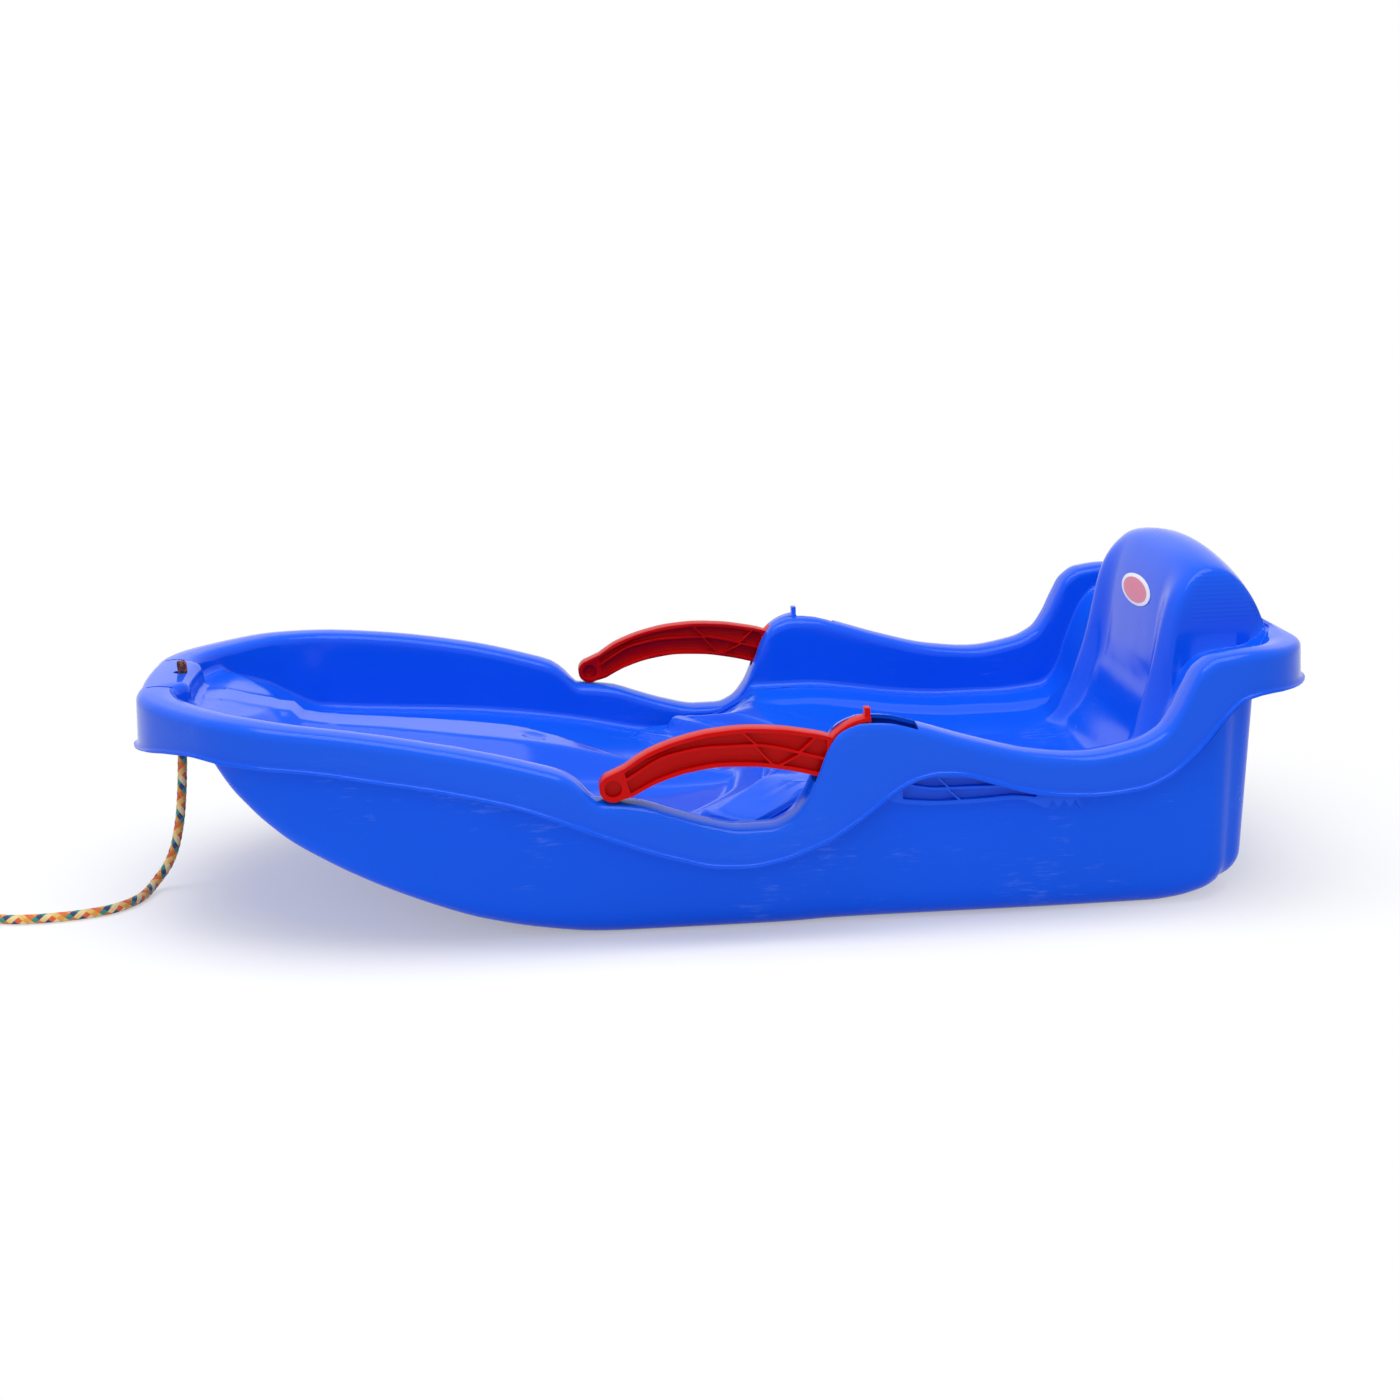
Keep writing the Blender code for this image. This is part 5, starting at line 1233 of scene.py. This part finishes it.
def lever(side, material, blue):
    """One brake lever, in place, with softened edges; its rear arm and the right slot cover are blue."""
    name = "left" if side < 0 else "right"
    half = LEVER_WIDTH / 2
    past = half + 0.001
    piece = plates("ribbed_lever_" + name, [lever_outline()], -half, half, material)
    cells = lever_pockets()
    tools = []
    for way, face in ((1, "outer"), (-1, "inner")):
        tool = plates(f"pocket_{face}_{name}", cells, way * LEVER_WEB / 2, way * past, material)
        tools.append(combine(piece, tool, "DIFFERENCE"))
    strip, tab, web = tongue_outline()
    for kind, outline, wide in (("strip", strip, half), ("web", web, LEVER_WEB / 2),
                                ("tab", tab, half * TAB_SHARE)):
        tools.append(combine(piece, plates(f"{kind}_{name}", [outline], -wide, wide, material), "UNION"))
    for way, face in ((1, "outer"), (-1, "inner")):
        for kind, radius, start, at, segments in (
                ("hub_recess", BOSS_RADIUS + HUB_RECESS, HUB_WIDTH / 2, (0.0, 0.0), 48),
                ("tip_ring", GRIP_EYE_RADIUS, LEVER_WEB / 2, GRIP_TIP, 32)):
            tool = cylinder_y(f"{kind}_{face}_{name}", radius, way * start, way * past, *at, segments,
                              material)
            tools.append(combine(piece, tool, "DIFFERENCE"))
    bore = cylinder_y(f"hub_bore_{name}", AXLE_RADIUS + GAP, -past, past, 0.0, 0.0, 40, material)
    tools.append(combine(piece, bore, "DIFFERENCE"))
    soften = piece.modifiers.new("soften", "BEVEL")
    soften.width = LEVER_EDGE
    soften.segments = 2
    soften.limit_method = "ANGLE"
    soften.angle_limit = math.radians(35)
    settle(piece, tools, LEVER_SMOOTH_ANGLE)
    piece.data.transform(Matrix.Translation((PIVOT_X, side * LEVER_Y, PIVOT_HEIGHT)))
    piece.data.materials.clear()
    piece.data.materials.append(material)
    piece.data.materials.append(blue)
    mesh = bmesh.new()
    mesh.from_mesh(piece.data)
    for place in (BLUE_TONGUE_FROM, BLUE_FROM):
        bmesh.ops.bisect_plane(mesh, geom=mesh.verts[:] + mesh.edges[:] + mesh.faces[:],
                               plane_co=(PIVOT_X + place, 0.0, 0.0), plane_no=(1.0, 0.0, 0.0))
    mesh.to_mesh(piece.data)
    mesh.free()
    for face in piece.data.polygons:
        face.material_index = 0
        x = face.center.x - PIVOT_X
        z = face.center.z - PIVOT_HEIGHT
        blue_tongue = side > 0 and x > BLUE_TONGUE_FROM and z > BLUE_TONGUE_ABOVE
        if x > BLUE_FROM or blue_tongue:
            face.material_index = 1
    return piece


# The label


def label(tub_piece, material):
    """An oval sticker with a softly raised face that follows the backrest's front."""
    bpy.context.view_layer.update()
    graph = bpy.context.evaluated_depsgraph_get()
    surface = BVHTree.FromObject(tub_piece, graph)
    mesh = bmesh.new()
    normal = Vector((-1.0, 0.0, LABEL_LEAN)).normalized()
    up = Vector((normal.z, 0.0, -normal.x))
    centre = Vector((TAIL_X - LABEL_FROM_TAIL, 0.0, LABEL_HEIGHT))
    rows = []
    for level in (GAP, GAP + LABEL_THICK):
        loops = []
        for r in range(LABEL_RINGS + 1):
            loop = []
            for k in range(LABEL_AROUND if r else 1):
                a = 2 * math.pi * k / LABEL_AROUND
                out = r / LABEL_RINGS
                flat = Vector((0.0, math.cos(a) * LABEL_HALF_WIDTH * out, 0.0))
                flat += up * (math.sin(a) * LABEL_HALF_HEIGHT * out)
                hit = surface.ray_cast(centre + flat + normal * LABEL_AIM_FROM, -normal)[0]
                rise = level - (LABEL_THICK * LABEL_EDGE_FALL * out ** 8 if level > GAP else 0.0)
                loop.append(mesh.verts.new(hit + normal * rise))
            loops.append(loop)
        rows.append(loops)
    for top, loops in enumerate(rows):
        for k in range(LABEL_AROUND):
            j = (k + 1) % LABEL_AROUND
            faces = [[loops[0][0], loops[1][k], loops[1][j]]]
            for a, b in zip(loops[1:], loops[2:]):
                faces.append([a[k], b[k], b[j], a[j]])
            for face in faces:
                mesh.faces.new(face if top else face[::-1])
    for k in range(LABEL_AROUND):
        j = (k + 1) % LABEL_AROUND
        mesh.faces.new([rows[0][-1][k], rows[0][-1][j], rows[1][-1][j], rows[1][-1][k]])
    bmesh.ops.recalc_face_normals(mesh, faces=mesh.faces)
    piece = object_from("oval_label", mesh, material)
    piece.data.shade_smooth()
    piece.data.set_sharp_from_angle(angle=math.radians(LABEL_SMOOTH_ANGLE))
    return piece


def label_material():
    """Printed vinyl: a satin white border round a coral oval, its print flecks drawn 0.7 mm coarse."""
    material, tree = fresh_material("printed_vinyl")
    place = add(tree, "TexCoord")
    move = add(tree, "Mapping", vector_type="TEXTURE", vector=place.outputs["Object"],
               location=(TAIL_X - LABEL_FROM_TAIL, LABEL_FIELD_OFF[0], LABEL_HEIGHT + LABEL_FIELD_OFF[1]),
               scale=(1.0, LABEL_HALF_WIDTH, LABEL_HALF_HEIGHT * LABEL_FIELD_SQUASH))
    part = add(tree, "SeparateXYZ", vector=move)
    flat = add(tree, "CombineXYZ", y=part.outputs["Y"], z=part.outputs["Z"])
    away = add(tree, "VectorMath", operation="LENGTH", in0=flat)
    edge = add(tree, "MapRange", value=away.outputs["Value"], from_min=LABEL_FIELD_EDGE[0],
               from_max=LABEL_FIELD_EDGE[1])
    speck = add(tree, "TexNoise", vector=place.outputs["Object"], scale=1400.0, detail=1.0)
    coral = add(tree, "Mix", data_type="RGBA", in0=speck.outputs["Fac"], in6=to_linear("E2607A"),
                in7=to_linear("EE8496"))
    tone = add(tree, "Mix", data_type="RGBA", in0=edge, in6=coral, in7=to_linear("F6F3F2"))
    surface = add(tree, "BsdfPrincipled", base_color=tone, roughness=0.35)
    add(tree, "OutputMaterial", surface=surface)
    return material


# Materials of the shells, levers, axles and tie. The backrest's fine ribs fade in from the first value
# of each pair to the second: outwards, from below, from above and towards the tail
RIBS_OUT = (0.101, 0.104)
RIBS_LOW = (0.212, 0.216)
RIBS_HIGH = (0.262, 0.256)
RIBS_AFT = (TAIL_X - 0.079, TAIL_X - 0.075)


def moulded_plastic(name, tones, roughness, specular, streak_strength, streak_tone, ribs=False):
    """Moulded polyethylene or polypropylene: an even glossy colour, faintly wavy, with fine pale streaks."""
    material, tree = fresh_material(name)
    place = add(tree, "TexCoord")
    # Clouds of a slightly lighter tone, about 140 mm across
    cloud = add(tree, "TexNoise", vector=place.outputs["Object"], scale=7.0, detail=2.0)
    tone = add(tree, "Mix", data_type="RGBA", in0=cloud, in6=to_linear(tones[0]), in7=to_linear(tones[1]))
    # Pale streaks along the sled in patches of 90 mm, drawn 3 mm wide, a little rougher than the rest
    stretch = add(tree, "Mapping", vector=place.outputs["Object"], scale=(9.0, 60.0, 60.0),
                  rotation=(0.0, 0.05, 0.0))
    lines = add(tree, "TexNoise", vector=stretch, scale=6.0, detail=6.0, roughness=0.7)
    patches = add(tree, "TexNoise", vector=place.outputs["Object"], scale=11.0, detail=3.0)
    both = add(tree, "Math", operation="MULTIPLY", in0=lines, in1=patches)
    mark = add(tree, "MapRange", value=both, from_min=0.31, from_max=0.44, to_max=streak_strength)
    colour = add(tree, "Mix", data_type="RGBA", in0=mark, in6=tone, in7=to_linear(streak_tone))
    rough = add(tree, "MapRange", value=mark, from_max=max(streak_strength, 0.01), to_min=roughness,
                to_max=roughness + 0.18)
    # Waves of 24 mm where the wall sank as it cooled, and the mould's grain, drawn 1.2 mm coarse
    wave = add(tree, "TexNoise", vector=place.outputs["Object"], scale=42.0, detail=1.0)
    grain = add(tree, "TexNoise", vector=place.outputs["Object"], scale=800.0, detail=1.0)
    bump = add(tree, "Bump", strength=0.04, distance=0.0002, height=grain)
    bump = add(tree, "Bump", strength=0.10, distance=0.0012, height=wave, normal=bump)
    if ribs:
        # Fine ribs 3.5 mm apart on the backrest's side faces
        part = add(tree, "SeparateXYZ", vector=place.outputs["Object"])
        side = add(tree, "Math", operation="ABSOLUTE", in0=part.outputs["Y"])
        mask = None
        for across, (none_at, full_at) in ((side, RIBS_OUT), (part.outputs["Z"], RIBS_LOW),
                                           (part.outputs["Z"], RIBS_HIGH), (part.outputs["X"], RIBS_AFT)):
            limit = add(tree, "MapRange", value=across, from_min=none_at, from_max=full_at)
            mask = add(tree, "Math", operation="MULTIPLY", in0=mask, in1=limit) if mask else limit
        bands = add(tree, "TexWave", bands_direction="Z", vector=place.outputs["Object"], scale=90.0)
        raised = add(tree, "Math", operation="MULTIPLY", in0=bands.outputs["Fac"], in1=mask)
        bump = add(tree, "Bump", strength=0.22, distance=0.0004, height=raised, normal=bump)
    surface = add(tree, "BsdfPrincipled", base_color=colour, roughness=rough, normal=bump,
                  specular_ior_level=specular)
    add(tree, "OutputMaterial", surface=surface)
    return material


def steel_material():
    """Zinc-plated steel: a soft grey shine, in faint flecks of 1.7 mm, drawn coarser than real ones."""
    material, tree = fresh_material("zinc_plated_steel")
    place = add(tree, "TexCoord")
    noise = add(tree, "TexNoise", vector=place.outputs["Object"], scale=600.0, detail=2.0)
    rough = add(tree, "MapRange", value=noise.outputs["Fac"], to_min=0.24, to_max=0.42)
    surface = add(tree, "BsdfPrincipled", base_color=to_linear("C4C6C4"), metallic=1.0, roughness=rough)
    add(tree, "OutputMaterial", surface=surface)
    return material


def tie_material():
    """Woven black nylon: matt, with a fine rib across it every 0.8 mm, its colour darker in the grooves and
    lighter on the crests as painted shade and highlight.
    """
    material, tree = fresh_material("woven_nylon")
    place = add(tree, "TexCoord")
    ribs = add(tree, "TexWave", vector=place.outputs["Object"], scale=400.0, distortion=1.0)
    # The ribs' height also sets the tone: painted shade in the grooves, painted highlight on the crests
    tone = add(tree, "Mix", data_type="RGBA", in0=ribs.outputs["Fac"], in6=to_linear("16171A"),
               in7=to_linear("2C2E33"))
    bump = add(tree, "Bump", strength=0.3, distance=0.0002, height=ribs.outputs["Fac"])
    surface = add(tree, "BsdfPrincipled", base_color=tone, roughness=0.7, normal=bump)
    add(tree, "OutputMaterial", surface=surface)
    return material


def main():
    """The whole scene: camera, rope, floor and light, shells, levers, label, axles and tie."""
    camera()
    band = tow_rope()
    studio()
    blue = moulded_plastic("glossy_blue_polyethylene", ("0A54E0", "0C59E6"), roughness=0.14, specular=0.18,
                           streak_strength=0.05, streak_tone="6E9BF8", ribs=True)
    hull_blue = moulded_plastic("glossy_blue_polyethylene_hull", ("0A58E8", "0C5DEE"), roughness=0.20,
                                specular=0.10, streak_strength=0.20, streak_tone="7CA6FA")
    red = moulded_plastic("red_polypropylene", ("BC0000", "C60201"), roughness=0.32, specular=0.10,
                          streak_strength=0.04, streak_tone="D8483C")
    tub_piece = tub(blue)
    hull_piece = hull(hull_blue)
    shell_pieces(tub_piece, hull_piece, blue)
    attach(tub_piece, "shell")
    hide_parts("tub_shell")
    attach(hull_piece, "shell")
    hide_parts("hull_shell")
    for side, name in ((-1, "left"), (1, "right")):
        piece = lever(side, red, blue)
        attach(piece, name + "_brake")
        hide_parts("brake_lever_" + name)
    sticker = label(tub_piece, label_material())
    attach(sticker, "shell")
    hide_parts("backrest_label")
    steel = steel_material()
    for name in ("brake_axle_left", "brake_axle_right"):
        for slot in bpy.data.objects[name].material_slots:
            slot.material = steel
    woven = tie_material()
    for slot in band.material_slots:
        slot.material = woven


main()
